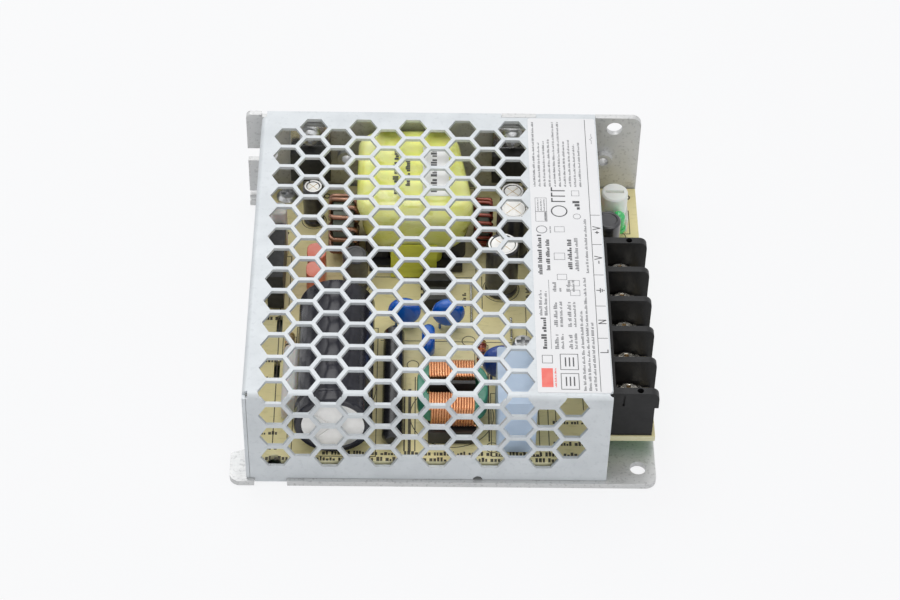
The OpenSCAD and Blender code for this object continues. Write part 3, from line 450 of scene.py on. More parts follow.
def ring_part(centre, outer, inner, height, steps=32):
    """A flat ring that stands on its centre."""
    sections = []
    for k in range(steps):
        a = 2 * math.pi * k / steps
        sections.append([Vector(centre) + Vector((r * math.cos(a), r * math.sin(a), z)) for r, z in
                         ((outer, 0), (outer, height), (inner, height), (inner, 0))])
    return hoop(sections)


def make(name, parts, materials, replaced=(), smooth=False, numbers=None):
    """A piece from parts; numbers are the parts' material numbers."""
    vertices, faces, material_numbers = [], [], []
    for i, (points, polygons) in enumerate(parts):
        start = len(vertices)
        vertices += [p * MM for p in points]
        faces += [[start + n for n in polygon] for polygon in polygons]
        material_numbers += [numbers[i] if numbers else 0] * len(polygons)
    mesh = bpy.data.meshes.new(name)
    mesh.from_pydata(vertices, [], faces)
    for face, number in zip(mesh.polygons, material_numbers):
        face.use_smooth = smooth
        face.material_index = number
    mesh.validate()
    return put(name, mesh, materials, replaced)


# ---------------- sheets, label and fasteners

BOARD_TOP = high("circuit_board").z
LABEL_LOW = low("rating_label")
LABEL_HIGH = high("rating_label")
INK_T = 0.02

# The cover's faces stay triangles, because faces merged round its holes shade badly
dress("mesh_cover", [zinc], 0.13,
      replaced=["mesh_cover_top", "mesh_cover_near_wall", "mesh_cover_rear_wall"],
      seams=[(2, low("mesh_cover_top").z)], merge=False)
dress("chassis", [aluminium], 0.18,
      replaced=["chassis_base", "chassis_side_wall", "chassis_rear_ear"],
      seams=[(2, low("chassis_side_wall").z), (0, high("chassis_rear_ear").x)])

# The film's top makes room for the print, which ends at the CAD label's height
label = dress("rating_label", [film], 0.02)
for vertex in label.data.vertices:
    if vertex.co.z > LABEL_HIGH.z * MM - 1e-6:
        vertex.co.z -= INK_T * MM

dress("insulation_sheet", [sheet_film], 0.05)
dress("cover_screw", [screw_zinc], 0.1)
for screws in ("board_screws", "device_screws"):
    dress(screws, [screw_zinc])


def board_face(centre, normal):
    """Material rule for the board: printed side, edge, copper side."""
    if is_wall(normal):
        return 1
    return 0 if normal.z > 0 else 2


dress("circuit_board", [board_top_face, board_edge_face, board_under_face], 0.05,
      rule=board_face)

# ---------------- terminal block

# Outer ends of the barriers: Y and thickness of each, then the depth, height and middle of all
BARRIERS = [(-26.85, 1.66), (-16.95, 1.66), (-7.05, 1.66), (2.85, 1.66), (12.75, 1.96)]
END_DEPTH, END_HEIGHT = 1.4, 4.6
END_X, END_Z = high("terminal_block").x - 0.72, 13.9
# Recess of a terminal screw's head: radius, depth, and depth from which its floor carries painted
# shade
RECESS_R = 1.9
RECESS_DEPTH = 1.4
RECESS_RIM = 0.25

dress("terminal_block", [nylon], 0.22, segments=3)
barrier_ends = [box_part((END_X, y, END_Z), (END_DEPTH, t, END_HEIGHT)) for y, t in BARRIERS]
make("barrier_edges", barrier_ends, [nylon])
dress("terminal_plates", [brass], 0.08)


def screw_rule(screw):
    """Material rule for a terminal screw: plated metal, with painted shade on the walls and floor
    of the recess in its head.
    """
    top = high(screw).z
    middle = (low(screw) + high(screw)) / 2

    def rule(centre, normal):
        inside = math.hypot(centre.x - middle.x, centre.y - middle.y) < RECESS_R
        in_recess = inside and centre.z > top - RECESS_DEPTH
        return 1 if in_recess and (centre.z < top - RECESS_RIM or is_wall(normal)) else 0

    return rule


for k in range(1, 6):
    washer, screw = f"clamp_washer_{k}", f"terminal_screw_{k}"
    dress(washer, [nickel], 0.1, body=f"washer_{k}")
    dress(screw, [nickel, painted_recess_shade], rule=screw_rule(screw), body=f"screw_{k}")

# ---------------- transformer

TAPE_LOW = low("transformer_tape")
TAPE_HIGH = high("transformer_tape")
TAPE_MIDDLE = (TAPE_LOW + TAPE_HIGH) / 2
TAPE_HALF = (TAPE_HIGH - TAPE_LOW) / 2

# Share of its half width by which the +X side leans in towards +Y, more so where it swells
TAPER = 0.17
TAPER_PER_SWELL = 1.9
# The wound tape's forms: how much, and the drops below the top that each is whole and gone at
SIDE_BULGE, SIDE_BULGE_DROPS = 0.095, (3.6, 5.2)
NEAR_SETBACK, NEAR_SETBACK_DROPS = 2.1, (0.3, 3.0)
CORNER_SWELL, CORNER_SWELL_DROPS = 0.105, (6.0, 7.4)
TAPE_INSET = 0.1
# Drop below the top, inset of the sides and corner radius of each level, lowest first
TAPE_LEVELS = [
    (14.9, 3.6, 4.0), (14.4, 2.7, 4.4), (13.4, 1.6, 5.0), (12.0, 0.8, 5.4), (9.8, 0.3, 5.8),
    (7.6, 0.1, 6.0), (6.0, 0.0, 6.0), (4.4, 0.0, 6.0), (3.0, 0.0, 6.0), (1.7, 0.15, 5.8),
    (1.0, 0.5, 5.6), (0.5, 1.0, 5.2), (0.2, 1.8, 4.8), (0.04, 3.2, 4.2), (0.02, 6.0, 3.6)]
TAPE_CORNER_STEPS = 10
# The core ends this far below the tape's top, clear of its set-back edge
CORE_DROP = 3.4
# Loose end of the tape at its foot: Y and Z of its face, thickness, ends along X
STRIP_FACE = [(13.2, 6.9), (13.5, 7.9), (14.0, 9.4), (14.45, 11.4), (14.75, 13.6), (15.1, 16.0)]
STRIP_T = 0.3
STRIP_X = (TAPE_MIDDLE.x - 6.2, TAPE_MIDDLE.x + 5.1)


def rounded_outline(half_x, half_y, radius, steps=8):
    """Points of a rounded rectangle about the origin, counter-clockwise."""
    points = []
    for n, (sx, sy) in enumerate([(1, 1), (-1, 1), (-1, -1), (1, -1)]):
        for i in range(steps + 1):
            a = math.pi / 2 * (n + i / steps)
            points.append(Vector((sx * (half_x - radius) + radius * math.cos(a),
                                  sy * (half_y - radius) + radius * math.sin(a), 0)))
    return points


def ramp_down(value, full, none):
    """1 up to full, 0 from none on."""
    return min(1.0, max(0.0, (none - value) / (none - full)))


def narrowed(x, y, swell=0.0):
    """The block's +X side leans in towards +Y, and swells out towards -Y."""
    if x <= TAPE_MIDDLE.x:
        return x
    far = ((y - TAPE_MIDDLE.y) / TAPE_HALF.y + 1) / 2
    wider = 1 + swell - (TAPER + TAPER_PER_SWELL * swell) * far
    return TAPE_MIDDLE.x + (x - TAPE_MIDDLE.x) * wider


def tape_point(p, drop):
    """A point of the taped block, with the slight waves and the bulges of wound tape."""
    z = TAPE_HIGH.z - drop
    wave = 0.12 * math.sin(0.9 * p.y + 0.5 * z) + 0.08 * math.sin(2.3 * z + 0.7 * p.x)
    x = TAPE_MIDDLE.x + p.x * (1 - (TAPE_INSET + wave * 0.5) / TAPE_HALF.x)
    y = TAPE_MIDDLE.y + p.y * (1 - (TAPE_INSET - wave * 0.3) / TAPE_HALF.y)
    if p.x < 0:
        x += p.x * SIDE_BULGE * ramp_down(drop, *SIDE_BULGE_DROPS)
    if p.y < 0:
        y -= p.y / TAPE_HALF.y * NEAR_SETBACK * ramp_down(drop, *NEAR_SETBACK_DROPS)
    return Vector((narrowed(x, y, CORNER_SWELL * ramp_down(drop, *CORNER_SWELL_DROPS)), y, z))


dress("transformer_winding", [winding_tape], 0.5, segments=3)
dress("transformer_bobbin", [phenolic])
ferrite_block = dress("transformer_core", [ferrite], 0.25)
for vertex in ferrite_block.data.vertices:
    vertex.co.x = narrowed(vertex.co.x / MM, vertex.co.y / MM) * MM
    vertex.co.z = min(vertex.co.z, (TAPE_HIGH.z - CORE_DROP) * MM)

levels = []
for drop, inset, radius in TAPE_LEVELS:
    outline = rounded_outline(TAPE_HALF.x - inset, TAPE_HALF.y - inset, radius, TAPE_CORNER_STEPS)
    levels.append([tape_point(p, drop) for p in outline])
make("transformer_tape_wound", [loft(levels)], [tape], ["transformer_tape"],
     smooth=True)

section = [(STRIP_X[0], 0), (STRIP_X[1], 0), (STRIP_X[1], STRIP_T), (STRIP_X[0], STRIP_T)]
strip = loft([[Vector((x, y + dy, z)) for x, dy in section] for y, z in STRIP_FACE])
make("transformer_strip", [strip], [winding_tape])

# ---------------- capacitors

BULK_LOW = low("bulk_capacitor")
BULK_HIGH = high("bulk_capacitor")
BULK_R = (BULK_HIGH.x - BULK_LOW.x) / 2
BULK_AXIS = Vector((BULK_LOW.x + BULK_R, 0, BULK_HIGH.z - BULK_R))
# Where the legs begin at +Y, and how far inside the sleeve they are
LEGS_Y = BULK_HIGH.y - 3.0
LEGS_IN = 0.6
# The bare can end at -Y: its reach along Y, and the width of the sleeve's rim round it
BARE_END = (BULK_LOW.y + 0.24, BULK_LOW.y + 1.0)
BULK_RIM = 1.9

# X, Y, radius and top of the upright cans
OUTPUT_CANS = [(14.3, 9.8, 4.0, 22.1), (17.1, 22.5, 4.0, 22.1), (27.3, 15.0, 4.0, 22.1)]
SMALL_CANS = [(-32.5, 33.5, 2.6, 18.5), (-21.5, 10.6, 3.15, 17.5), (17.3, 33.5, 3.15, 17.5),
              (40.6, 22.55, 3.2, 18.5)]
BARE_SMALL_CANS = [SMALL_CANS[0], SMALL_CANS[2]]
# Bare top of a can: rim round it, depth below the rim, least Z of its normal
CAN_RIM = 0.75
CAN_SINK = 0.6
LEVEL_NORMAL = 0.7
# Cross of grooves on a can's top, drawn as thin boxes in painted shade: middle below the rim,
# length in radii, width and depth
VENT_DROP = 0.235
VENT_SIZE = (1.25, 0.16, 0.06)
# Stripe on a can's side: first angle, step and steps, faces from the wall, ends from board and top
STRIPE_START, STRIPE_STEP, STRIPE_STEPS = 2.2, 0.16, 3
STRIPE_FACES = (-0.02, 0.03)
STRIPE_ENDS = (2.6, 0.7)
# The beads on the +Y half stand taller than their solid
BEAD_STRETCH = 1.5


def bulk_face(centre, normal):
    """Material rule for the bulk capacitor: sleeve, bare can end, legs."""
    out = math.hypot(centre.x - BULK_AXIS.x, centre.z - BULK_AXIS.z)
    if centre.y > LEGS_Y and out < BULK_R - LEGS_IN:
        return 2
    return 1 if BARE_END[0] < centre.y < BARE_END[1] and out < BULK_R - BULK_RIM else 0


def can_face(cans):
    """Material rule for upright cans: bare metal on the sunk top, sleeve elsewhere."""

    def rule(centre, normal):
        for x, y, r, z in cans:
            inside = math.hypot(centre.x - x, centre.y - y) < r - CAN_RIM
            if inside and centre.z > z - CAN_SINK and normal.z > LEVEL_NORMAL:
                return 1
        return 0

    return rule


dress("bulk_capacitor", [sleeve, can_metal, tinned], 0.1, rule=bulk_face)
dress("output_capacitors", [small_sleeve, can_metal], rule=can_face(OUTPUT_CANS))
dress("small_capacitors", [small_sleeve, can_metal], rule=can_face(BARE_SMALL_CANS))

# The grooves' darkness is painted shade, in the same material as the screw recesses
vents = [box_part((x, y, z - VENT_DROP), (VENT_SIZE[0] * r, VENT_SIZE[1], VENT_SIZE[2]), angle)
         for x, y, r, z in OUTPUT_CANS + BARE_SMALL_CANS for angle in (math.pi / 4, -math.pi / 4)]
make("can_vents", vents, [painted_recess_shade])

stripes = []
for x, y, r, z in OUTPUT_CANS + SMALL_CANS:
    foot, top = BOARD_TOP + STRIPE_ENDS[0], z - STRIPE_ENDS[1]
    inner, outer = (r + offset for offset in STRIPE_FACES)
    sections = []
    for i in range(STRIPE_STEPS + 1):
        a = STRIPE_START + STRIPE_STEP * i
        sections.append([Vector((x + out * math.cos(a), y + out * math.sin(a), end)) for out, end in
                         ((inner, foot), (outer, foot), (outer, top), (inner, top))])
    stripes.append(loft(sections))
make("can_stripes", stripes, [fine_ink], smooth=True)

dress("film_capacitor", [pale_blue], 0.35, segments=3)
dress("disc_capacitors", [blue], 0)
dress("varistor", [deep_blue], 0)
dress("dipped_capacitor", [red], 1.0, segments=4)
dress("sleeved_fuse", [shrink], 0.3, segments=3)
beads = dress("silicone_beads", [silicone], 0.9, segments=4)
for vertex in beads.data.vertices:
    if vertex.co.y > 0:
        vertex.co.z = (BOARD_TOP + (vertex.co.z / MM - BOARD_TOP) * BEAD_STRETCH) * MM

# ---------------- wound chokes

# Corner radius of a turn, in wire diameters, and the steps of each corner
TURN_CORNER = 0.6
TURN_STEPS = 4

# The mains choke's frame-shaped core: foot over the solid's, middle, half sizes and corners
CHOKE_LOW = low("choke_core")
CHOKE_HIGH = high("choke_core")
CORE_FOOT = 1.7
CORE_X = (CHOKE_LOW.x + CHOKE_HIGH.x) / 2
CORE_Y = (CHOKE_LOW.y + CHOKE_HIGH.y) / 2
CORE_Z = CHOKE_LOW.z + CORE_FOOT
CORE_HEIGHT = CHOKE_HIGH.z - CHOKE_LOW.z - CORE_FOOT
CORE_HALF = ((CHOKE_HIGH.x - CHOKE_LOW.x) / 2, 7.3)
CORE_CORNER = 5.2
HOLE_HALF = Vector((5.9, 2.9))
HOLE_CORNER = 1.2
CORE_EDGE = 0.5
CHOKE_WIRE = 0.62
CHOKE_TURNS = 17
WOUND_LENGTH = 10.7
# The base's shelf rises to the core's foot, and its divider widens with the hole
SHELF = BOARD_TOP + 2.5
SHELF_NEAR = 0.05
DIVIDER_HALF = 3
DIVIDER_WIDER = 2.4

# Upright ring chokes: radius of the hole, wire and turns, then first and last angle
PRIMARY_CHOKE = (3.4, 1.2, 13)
OUTPUT_CHOKE = (2.9, 0.95, 15)
WOUND_FROM, WOUND_TO = math.radians(30), math.radians(330)
AXIS_ALONG_X = Matrix.Rotation(math.pi / 2, 3, "Y")


def wire_loop(inner, outer, height, wire):
    """One turn round a bar's section, as (distance from the middle, height) pairs."""
    corner = wire * TURN_CORNER
    lo, hi = inner - wire / 2, outer + wire / 2
    bottom, top = -wire / 2, height + wire / 2
    loop = []
    for cx, cz, start in ((hi - corner, top - corner, 0), (lo + corner, top - corner, 90),
                          (lo + corner, bottom + corner, 180), (hi - corner, bottom + corner, 270)):
        for i in range(TURN_STEPS):
            a = math.radians(start + 90 / (TURN_STEPS - 1) * i)
            loop.append((cx + corner * math.cos(a), cz + corner * math.sin(a)))
    return loop


def straight_winding(side):
    """Wire wound side by side round one bar of the frame-shaped core."""
    loop = wire_loop(HOLE_HALF.y, CORE_HALF[1], CORE_HEIGHT, CHOKE_WIRE)
    count = CHOKE_TURNS * len(loop)
    points = []
    for n in range(count):
        across, z = loop[n % len(loop)]
        along = WOUND_LENGTH * n / count - WOUND_LENGTH / 2
        points.append(Vector((CORE_X + along, CORE_Y + side * across, CORE_Z + z)))
    return tube(points, CHOKE_WIRE / 2)


def upright_winding(core, hole, wire, turns):
    """Turns round an upright ring core, open at its foot."""
    lo, hi = low(core), high(core)
    centre = Vector((lo.x, (lo.y + hi.y) / 2, (lo.z + hi.z) / 2))
    loop = wire_loop(hole, (hi.y - lo.y) / 2, hi.x - lo.x, wire)
    count = turns * len(loop)
    points = []
    for n in range(count):
        radius, z = loop[n % len(loop)]
        a = WOUND_FROM + (WOUND_TO - WOUND_FROM) * n / count
        points.append(Vector((radius * math.cos(a), radius * math.sin(a), z)))
    vertices, faces = tube(points, wire / 2)
    return [centre + AXIS_ALONG_X @ v for v in vertices], faces


sections = []
for p, q in zip(rounded_outline(*HOLE_HALF, HOLE_CORNER), rounded_outline(*CORE_HALF, CORE_CORNER)):
    sections.append([Vector((CORE_X, CORE_Y, CORE_Z)) + Vector((point.x, point.y, z))
                     for point, z in ((p, 0), (q, 0), (q, CORE_HEIGHT), (p, CORE_HEIGHT))])
choke_frame = make("choke_frame", [hoop(sections)], [green_core], ["choke_core"],
                   smooth=True)
round_edges(choke_frame, CORE_EDGE, 3, "ANGLE")
make("choke_turns", [straight_winding(1), straight_winding(-1)], [copper],
     ["choke_windings"], smooth=True)
plate = dress("choke_base", [phenolic], 0.15)
for vertex in plate.data.vertices:
    if vertex.co.z / MM > SHELF - SHELF_NEAR:
        if vertex.co.z / MM < SHELF + SHELF_NEAR:
            vertex.co.z += CORE_FOOT * MM
        if abs(vertex.co.x / MM - CORE_X) < DIVIDER_HALF:
            vertex.co.x = (CORE_X + (vertex.co.x / MM - CORE_X) * DIVIDER_WIDER) * MM

make("primary_choke_turns", [upright_winding("primary_choke_core", *PRIMARY_CHOKE)], [brown_copper],
     ["primary_choke_winding"], smooth=True)
make("output_choke_turns", [upright_winding("output_choke_core", *OUTPUT_CHOKE)], [red_wire],
     ["output_choke_winding"], smooth=True)
for core in ("primary_choke_core", "output_choke_core"):
    dress(core, [grey_core], 0.4, segments=3)

# ---------------- semiconductors and small parts

# Heights over the board: ends of a tab device's moulded body, foot of the bridge and of the lens
DEVICE_BODY = (5.3, 14.65)
BRIDGE_FOOT = 1.1
LENS_FOOT = 2.9

# X and Y of the lying resistors, their axis over the board, radius, and half length
RESISTORS = [(9.2, -12.9), (-36.9, -10.8), (24.0, 3.0), (28.5, -6.0)]
RESISTOR_AXIS = 1.3
RESISTOR_R = 1.25
RESISTOR_HALF = 3.12
# Place along the resistor and radius there for each band colour, then width, relief and depth
BANDS = [(-2.4, 1.2), (-0.9, 1.0), (0.3, 1.0), (2.4, 1.2)]
BAND_WIDTH = 0.44
BAND_OUT, BAND_IN = 0.05, 0.15
AXIS_ALONG_Y = Matrix.Rotation(math.pi / 2, 3, "X")


def leg_face(foot, top=math.inf):
    """Material rule for a body between two heights over the board, and bare metal beyond."""
    return lambda centre, normal: 0 if foot <= centre.z - BOARD_TOP <= top else 1


def resistor_face(centre, normal):
    """Material rule for the resistors: lacquer, dark red on the first, and tinned legs."""
    for x, y in RESISTORS:
        out = math.hypot(centre.x - x, centre.z - BOARD_TOP - RESISTOR_AXIS)
        if out < RESISTOR_R and abs(centre.y - y) < RESISTOR_HALF:
            return 2 if (x, y) == RESISTORS[0] else 0
    return 1


for device in ("power_transistor", "output_rectifier"):
    dress(device, [epoxy, tinned], 0.15, rule=leg_face(*DEVICE_BODY))
dress("bridge_rectifier", [epoxy, tinned], 0.2, rule=leg_face(BRIDGE_FOOT))
dress("optocouplers", [epoxy, tinned], 0.15)
dress("jumper_wires", [tinned], 0)
dress("resistors", [lacquer, tinned, red_wire], 0.3, rule=resistor_face,
      segments=3)

band_parts, band_numbers = [], []
for x, y in RESISTORS:
    for number, (offset, radius) in enumerate(BANDS):
        vertices, faces = ring_part((0, 0, -BAND_WIDTH / 2), radius + BAND_OUT, radius - BAND_IN,
                                    BAND_WIDTH)
        place = Vector((x, y + offset, BOARD_TOP + RESISTOR_AXIS))
        band_parts.append(([AXIS_ALONG_Y @ v + place for v in vertices], faces))
        band_numbers.append(number)
make("resistor_bands", band_parts, BAND_COLOURS, smooth=True,
     numbers=band_numbers)

dress("adjuster_body", [white_plastic], 0.2, segments=3)
dress("adjuster_rotor", [cream_plastic], 0.15, body="adjuster", segments=3)
dress("indicator_lamp", [lens, tinned], 0.1, rule=leg_face(LENS_FOOT))

# ---------------- print on the label

LABEL_Z = LABEL_HIGH.z - INK_T

# The small fields that stand for words, in heights of their line
FIELDS_IN_A_WORD = (2, 7)
FIELD_LENGTH = (0.34, 0.6)
FIELD_HEIGHTS = (1.0, 1.0, 0.74, 0.74, 0.5)
FIELD_GAP = 0.16
WORD_GAP = 0.45
LINE_CAP = 0.6


def bar(x0, y0, x1, y1):
    """A printed field between two corners."""
    return box_part(((x0 + x1) / 2, (y0 + y1) / 2, LABEL_Z + INK_T / 2),
                    (abs(x1 - x0), abs(y1 - y0), INK_T))


def stroke(p, q, width, z=LABEL_Z):
    """A printed line from p to q."""
    along = Vector((q[0] - p[0], q[1] - p[1]))
    return box_part(((p[0] + q[0]) / 2, (p[1] + q[1]) / 2, z + INK_T / 2),
                    (along.length + width * LINE_CAP, width, INK_T), math.atan2(along.y, along.x))


def strokes(middle, size, lines, width):
    """A mark of lines drawn in a unit square, its right along +Y and its top along -X."""
    return [stroke(*[(middle[0] - (v - 0.5) * size[1], middle[1] + (u - 0.5) * size[0])
                     for u, v in line], width) for line in lines]


def frame_of(x0, y0, x1, y1, width, z=LABEL_Z):
    """A printed rectangular outline."""
    corners = [(x0, y0), (x1, y0), (x1, y1), (x0, y1)]
    return [stroke(corners[i], corners[(i + 1) % 4], width, z) for i in range(4)]


def printed_ring(x, y, outer, inner, z=LABEL_Z, steps=32):
    return ring_part((x, y, z), outer, inner, INK_T, steps)


def runs(start, end, height, seed, share=1.0):
    """Places, lengths and heights of the small fields on one line of print."""
    draw = random.Random(seed)
    fields = []
    at = start
    while at < end:
        shown = draw.random() < share
        for _ in range(draw.randint(*FIELDS_IN_A_WORD)):
            length = draw.uniform(*FIELD_LENGTH) * height
            tall = draw.choice(FIELD_HEIGHTS) * height
            if at + length > end:
                return fields
            if shown:
                fields.append((at, length, tall))
            at += length + FIELD_GAP * height
        at += WORD_GAP * height
    return fields


def words(x, y0, y1, height, seed, share=1.0):
    """A line of print as small plain fields along Y, their tops toward -X."""
    foot = x + height / 2
    return [bar(foot - tall, y, foot, y + length)
            for y, length, tall in runs(y0, y1, height, seed, share)]


bold, fine = [], []

# Generic signs beside the terminals: a long rule, rules between the bays, a mark in each bay
STRIP_RULE_X = 35.0
RULE = 0.14
RULE_ENDS = (0.4, 0.25)
BAY_RULES = [-29.1, -18.8, -8.6, 1.6, 11.7]
MARK_X = 36.3
MARK_SIZE = (1.35, 1.7)
MARK_LINE = 0.24
L_MARK = [((0.2, 1), (0.2, 0)), ((0.2, 0), (0.85, 0))]
N_MARK = [((0.1, 0), (0.1, 1)), ((0.1, 1), (0.9, 0)), ((0.9, 0), (0.9, 1))]
EARTH_MARK = [((0.5, 1), (0.5, 0.5)), ((0, 0.5), (1, 0.5)), ((0.2, 0.25), (0.8, 0.25)),
              ((0.4, 0), (0.6, 0))]
V_MARK = [((0.55, 1), (0.95, 0)), ((0.95, 0), (1.35, 1))]
MINUS_MARK = [((-0.45, 0.45), (0.15, 0.45))]
PLUS_MARK = MINUS_MARK + [((-0.15, 0.2), (-0.15, 0.7))]
BAY_MARKS = [(-33.2, L_MARK), (-23.9, N_MARK), (-13.7, EARTH_MARK), (-3.5, MINUS_MARK + V_MARK),
             (6.6, PLUS_MARK + V_MARK)]
ADJUST_MARK = [((-0.6, 0.5), (0.2, 0.5)), ((0.2, 0.5), (0.45, 0.9)), ((0.45, 0.9), (0.8, 0.2)),
               ((0.8, 0.2), (1.0, 0.5)), ((1.0, 0.5), (1.7, 0.5))]
bold.append(stroke((STRIP_RULE_X, LABEL_LOW.y + RULE_ENDS[0]),
                   (STRIP_RULE_X, LABEL_HIGH.y - RULE_ENDS[0]), RULE))
for y in BAY_RULES:
    bold.append(stroke((STRIP_RULE_X, y), (LABEL_HIGH.x - RULE_ENDS[1], y), RULE))
for y, mark in BAY_MARKS:
    bold += strokes((MARK_X, y), MARK_SIZE, mark, MARK_LINE)
fine += strokes((36.4, 39.0), (1.6, 0.9), ADJUST_MARK, 0.11)

# Red field, frame and heading
red_fields = [bar(21.8, -44.4, 24.4, -38.6)] + words(24.95, -44.4, -38.4, 0.4, 3)
bold += frame_of(22.1, -37.0, 24.4, -34.6, 0.13)
bold += words(22.7, -32.6, -22.6, 1.25, 11)
fine += words(22.2, -22.0, -13.8, 0.7, 12) + words(23.4, -22.0, -13.8, 0.7, 13)
fine.append(stroke((24.3, -32.6), (24.3, -10.4), 0.12))

# Table of four lines in three columns, two framed signs, lines below, small frames
for row, (x, height) in enumerate([(25.6, 0.85), (26.9, 0.6), (28.8, 0.85), (30.0, 0.6)]):
    fine += words(x, -32.6, -27.6, height, 20 + row) + words(x, -25.6, -17.4, height, 30 + row)
    fine += words(x, -14.2, -10.4, height, 40 + row, 0.7)
for y0 in (-45.0, -39.0):
    bold += frame_of(26.2, y0, 30.2, y0 + 4.8, 0.16)
    bold += [bar(27.2 + 0.9 * i, y0 + 1.0, 27.5 + 0.9 * i, y0 + 3.8) for i in range(3)]
for row, (x, y1) in enumerate([(31.5, -20.4), (32.7, -9.6), (33.9, -24.0)]):
    fine += words(x, -45.4, y1, 0.62, 50 + row)
for x, y in [(27.5, -9.4), (30.4, -14.6), (30.4, -11.4)]:
    fine += frame_of(x - 1.1, y - 0.9, x + 1.1, y + 0.9, 0.12)

# Middle block of words, with plain frames, rings and bars in place of signs
bold += words(22.5, -8.6, 4.8, 1.0, 61) + words(24.4, -7.2, 4.0, 0.9, 62)
fine += frame_of(25.9, -3.6, 28.4, -1.4, 0.13)
bold += words(29.6, -6.8, 3.6, 1.0, 63)
fine += words(31.2, -7.4, 4.4, 0.85, 64) + words(33.6, -8.0, 10.6, 0.62, 65)
fine.append(printed_ring(23.2, 6.6, 1.35, 1.12))
fine += words(25.2, 5.4, 7.8, 0.4, 66)
fine += frame_of(21.9, 9.4, 24.6, 12.8, 0.12) + frame_of(21.9, 12.8, 24.6, 17.6, 0.12)
fine.append(bar(24.0, 9.6, 24.5, 12.6))
for row in range(3):
    fine += words(22.5 + 0.75 * row, 13.1, 17.3, 0.34, 70 + row)
fine += frame_of(26.3, 5.8, 28.6, 7.6, 0.12)
bold.append(printed_ring(27.6, 13.0, 2.0, 1.7))
bold += [bar(25.8, 16.2 + 1.9 * i, 29.2, 16.55 + 1.9 * i) for i in range(3)]
bold += [bar(25.8, 16.2 + 1.9 * i, 26.15, 17.6 + 1.9 * i) for i in range(3)]
fine.append(printed_ring(31.8, 11.2, 0.95, 0.8))
bold += [bar(31.9 - 0.5 * i, 13.6 + 1.1 * i, 32.6, 14.4 + 1.1 * i) for i in range(3)]
fine += frame_of(30.8, 18.4, 32.6, 20.2, 0.12)

# Ten lines of small print towards +Y, three of them full
for row in range(10):
    end = 45.4 if row in (0, 4, 5) else 37.0 + 0.6 * (row % 4)
    fine += words(21.9 + 1.24 * row, 21.6, end, 0.5, 80 + row)

make("label_bold_print", bold, [ink])
make("label_fine_print", fine, [fine_ink])
make("label_red_field", red_fields, [red_ink])

# ---------------- print on board and transformer

board_fields = []
BOARD_LINE = 0.2
# Ring round a can: how far its edges lie outside the can
CAN_RING = (0.55, 0.37)
# Printed lines along Y: X, ends and width
TRACKS = [(-9.1, -43.2, -24.0, 0.35), (-7.9, -43.2, -24.0, 0.7), (-6.6, -43.2, -20.0, 0.25),
          (10.7, -40.0, -18.0, 0.35), (26.4, -38.0, -14.0, 0.2), (-39.6, -42.0, 3.0, 0.22),
          (-36.3, -42.0, -12.0, 0.18), (9.6, 3.0, 14.0, 0.2), (20.2, -6.0, 6.0, 0.2)]
# Small circles: X, Y and radius
CIRCLES = [(-7.2, -16.0, 1.5), (5.0, -18.6, 1.3), (-3.4, 2.0, 1.2), (6.2, -8.0, 1.7),
           (22.5, -10.5, 1.3), (27.2, -4.5, 1.2), (-27.0, 2.6, 1.1), (-33.6, -1.0, 1.4),
           (11.4, -42.0, 1.6), (24.0, 16.0, 1.3)]
# Small rings: X and Y of each, then the radii of all
PADS = [(37.4, 18.2), (36.6, 30.4), (46.9, 19.6), (47.0, 43.2), (29.0, 34.0), (-29.5, 42.6)]
PAD_RING = (0.95, 0.55)
# Lines of print along X: ends, Y, height and seed
ROWS = [(-43.4, -38.4, y, 1.1, 100 + n)
        for n, y in enumerate((-42.6, -38.0, -20.5, -15.0, -1.0, 24.0, 29.0))]
ROWS += [(-42.0, 34.0, -45.7, 1.25, 120), (-28.0, 34.0, -43.9, 1.25, 123),
         (25.6, 36.4, -40.6, 1.2, 121), (25.6, 36.0, -34.0, 1.0, 122)]
# Short lines of print along Y: where each begins
SHORT_LINES = [(26.4, -20.0), (22.4, -12.6), (34.2, -2.0), (5.2, 3.6), (20.8, 6.2), (33.6, 20.8)]


def board_frame(x0, y0, x1, y1, width=BOARD_LINE):
    board_fields.extend(frame_of(x0, y0, x1, y1, width, BOARD_TOP))


def board_line(p, q, width=BOARD_LINE):
    board_fields.append(stroke(p, q, width, BOARD_TOP))


def board_ring(x, y, outer, inner, steps=32):
    board_fields.append(printed_ring(x, y, outer, inner, BOARD_TOP, steps))


def at_height(parts, z):
    """Print made for the label, moved to another height."""
    up = Vector((0, 0, z - LABEL_Z))
    return [([v + up for v in vertices], faces) for vertices, faces in parts]


def board_row(x0, x1, y, height, seed):
    """A line of print as small plain fields along X."""
    for x, length, tall in runs(x0, x1, height, seed):
        middle = (x + length / 2, y + (tall - height) / 2, BOARD_TOP + INK_T / 2)
        board_fields.append(box_part(middle, (length, tall, INK_T)))


# Outlines: bulk capacitor, transformer, film capacitor, mains choke
board_frame(-35.2, -45.0, -15.7, -4.0)
board_ring(-25.4, -24.0, 9.6, 9.4, 48)
board_frame(-21.6, 13.6, 8.2, 46.0)
board_frame(11.2, -44.6, 22.4, -25.0)
board_ring(2.0, -32.2, 9.9, 9.7, 48)
for x, y, r, z in OUTPUT_CANS + SMALL_CANS:
    board_ring(x, y, r + CAN_RING[0], r + CAN_RING[1])
    board_line((x - r * 0.35, y + r + 1.1), (x + r * 0.35, y + r + 1.1), 0.18)
for x, y in RESISTORS:
    board_frame(x - 1.6, y - 3.6, x + 1.6, y + 3.6, 0.18)
board_frame(38.6, 29.8, 47.2, 38.2)
board_ring(43.9, 28.4, 2.3, 2.1)
board_frame(-43.6, 0.6, -37.6, 20.4)
for p, q in [((-15.0, -8.0), (30.0, -8.6)), ((30.0, -8.6), (36.0, -14.0)),
             ((24.6, -44.0), (24.6, -16.0)), ((33.0, -30.0), (33.0, 4.0))]:
    board_line(p, q)
for x, y0, y1, width in TRACKS:
    board_line((x, y0), (x, y1), width)
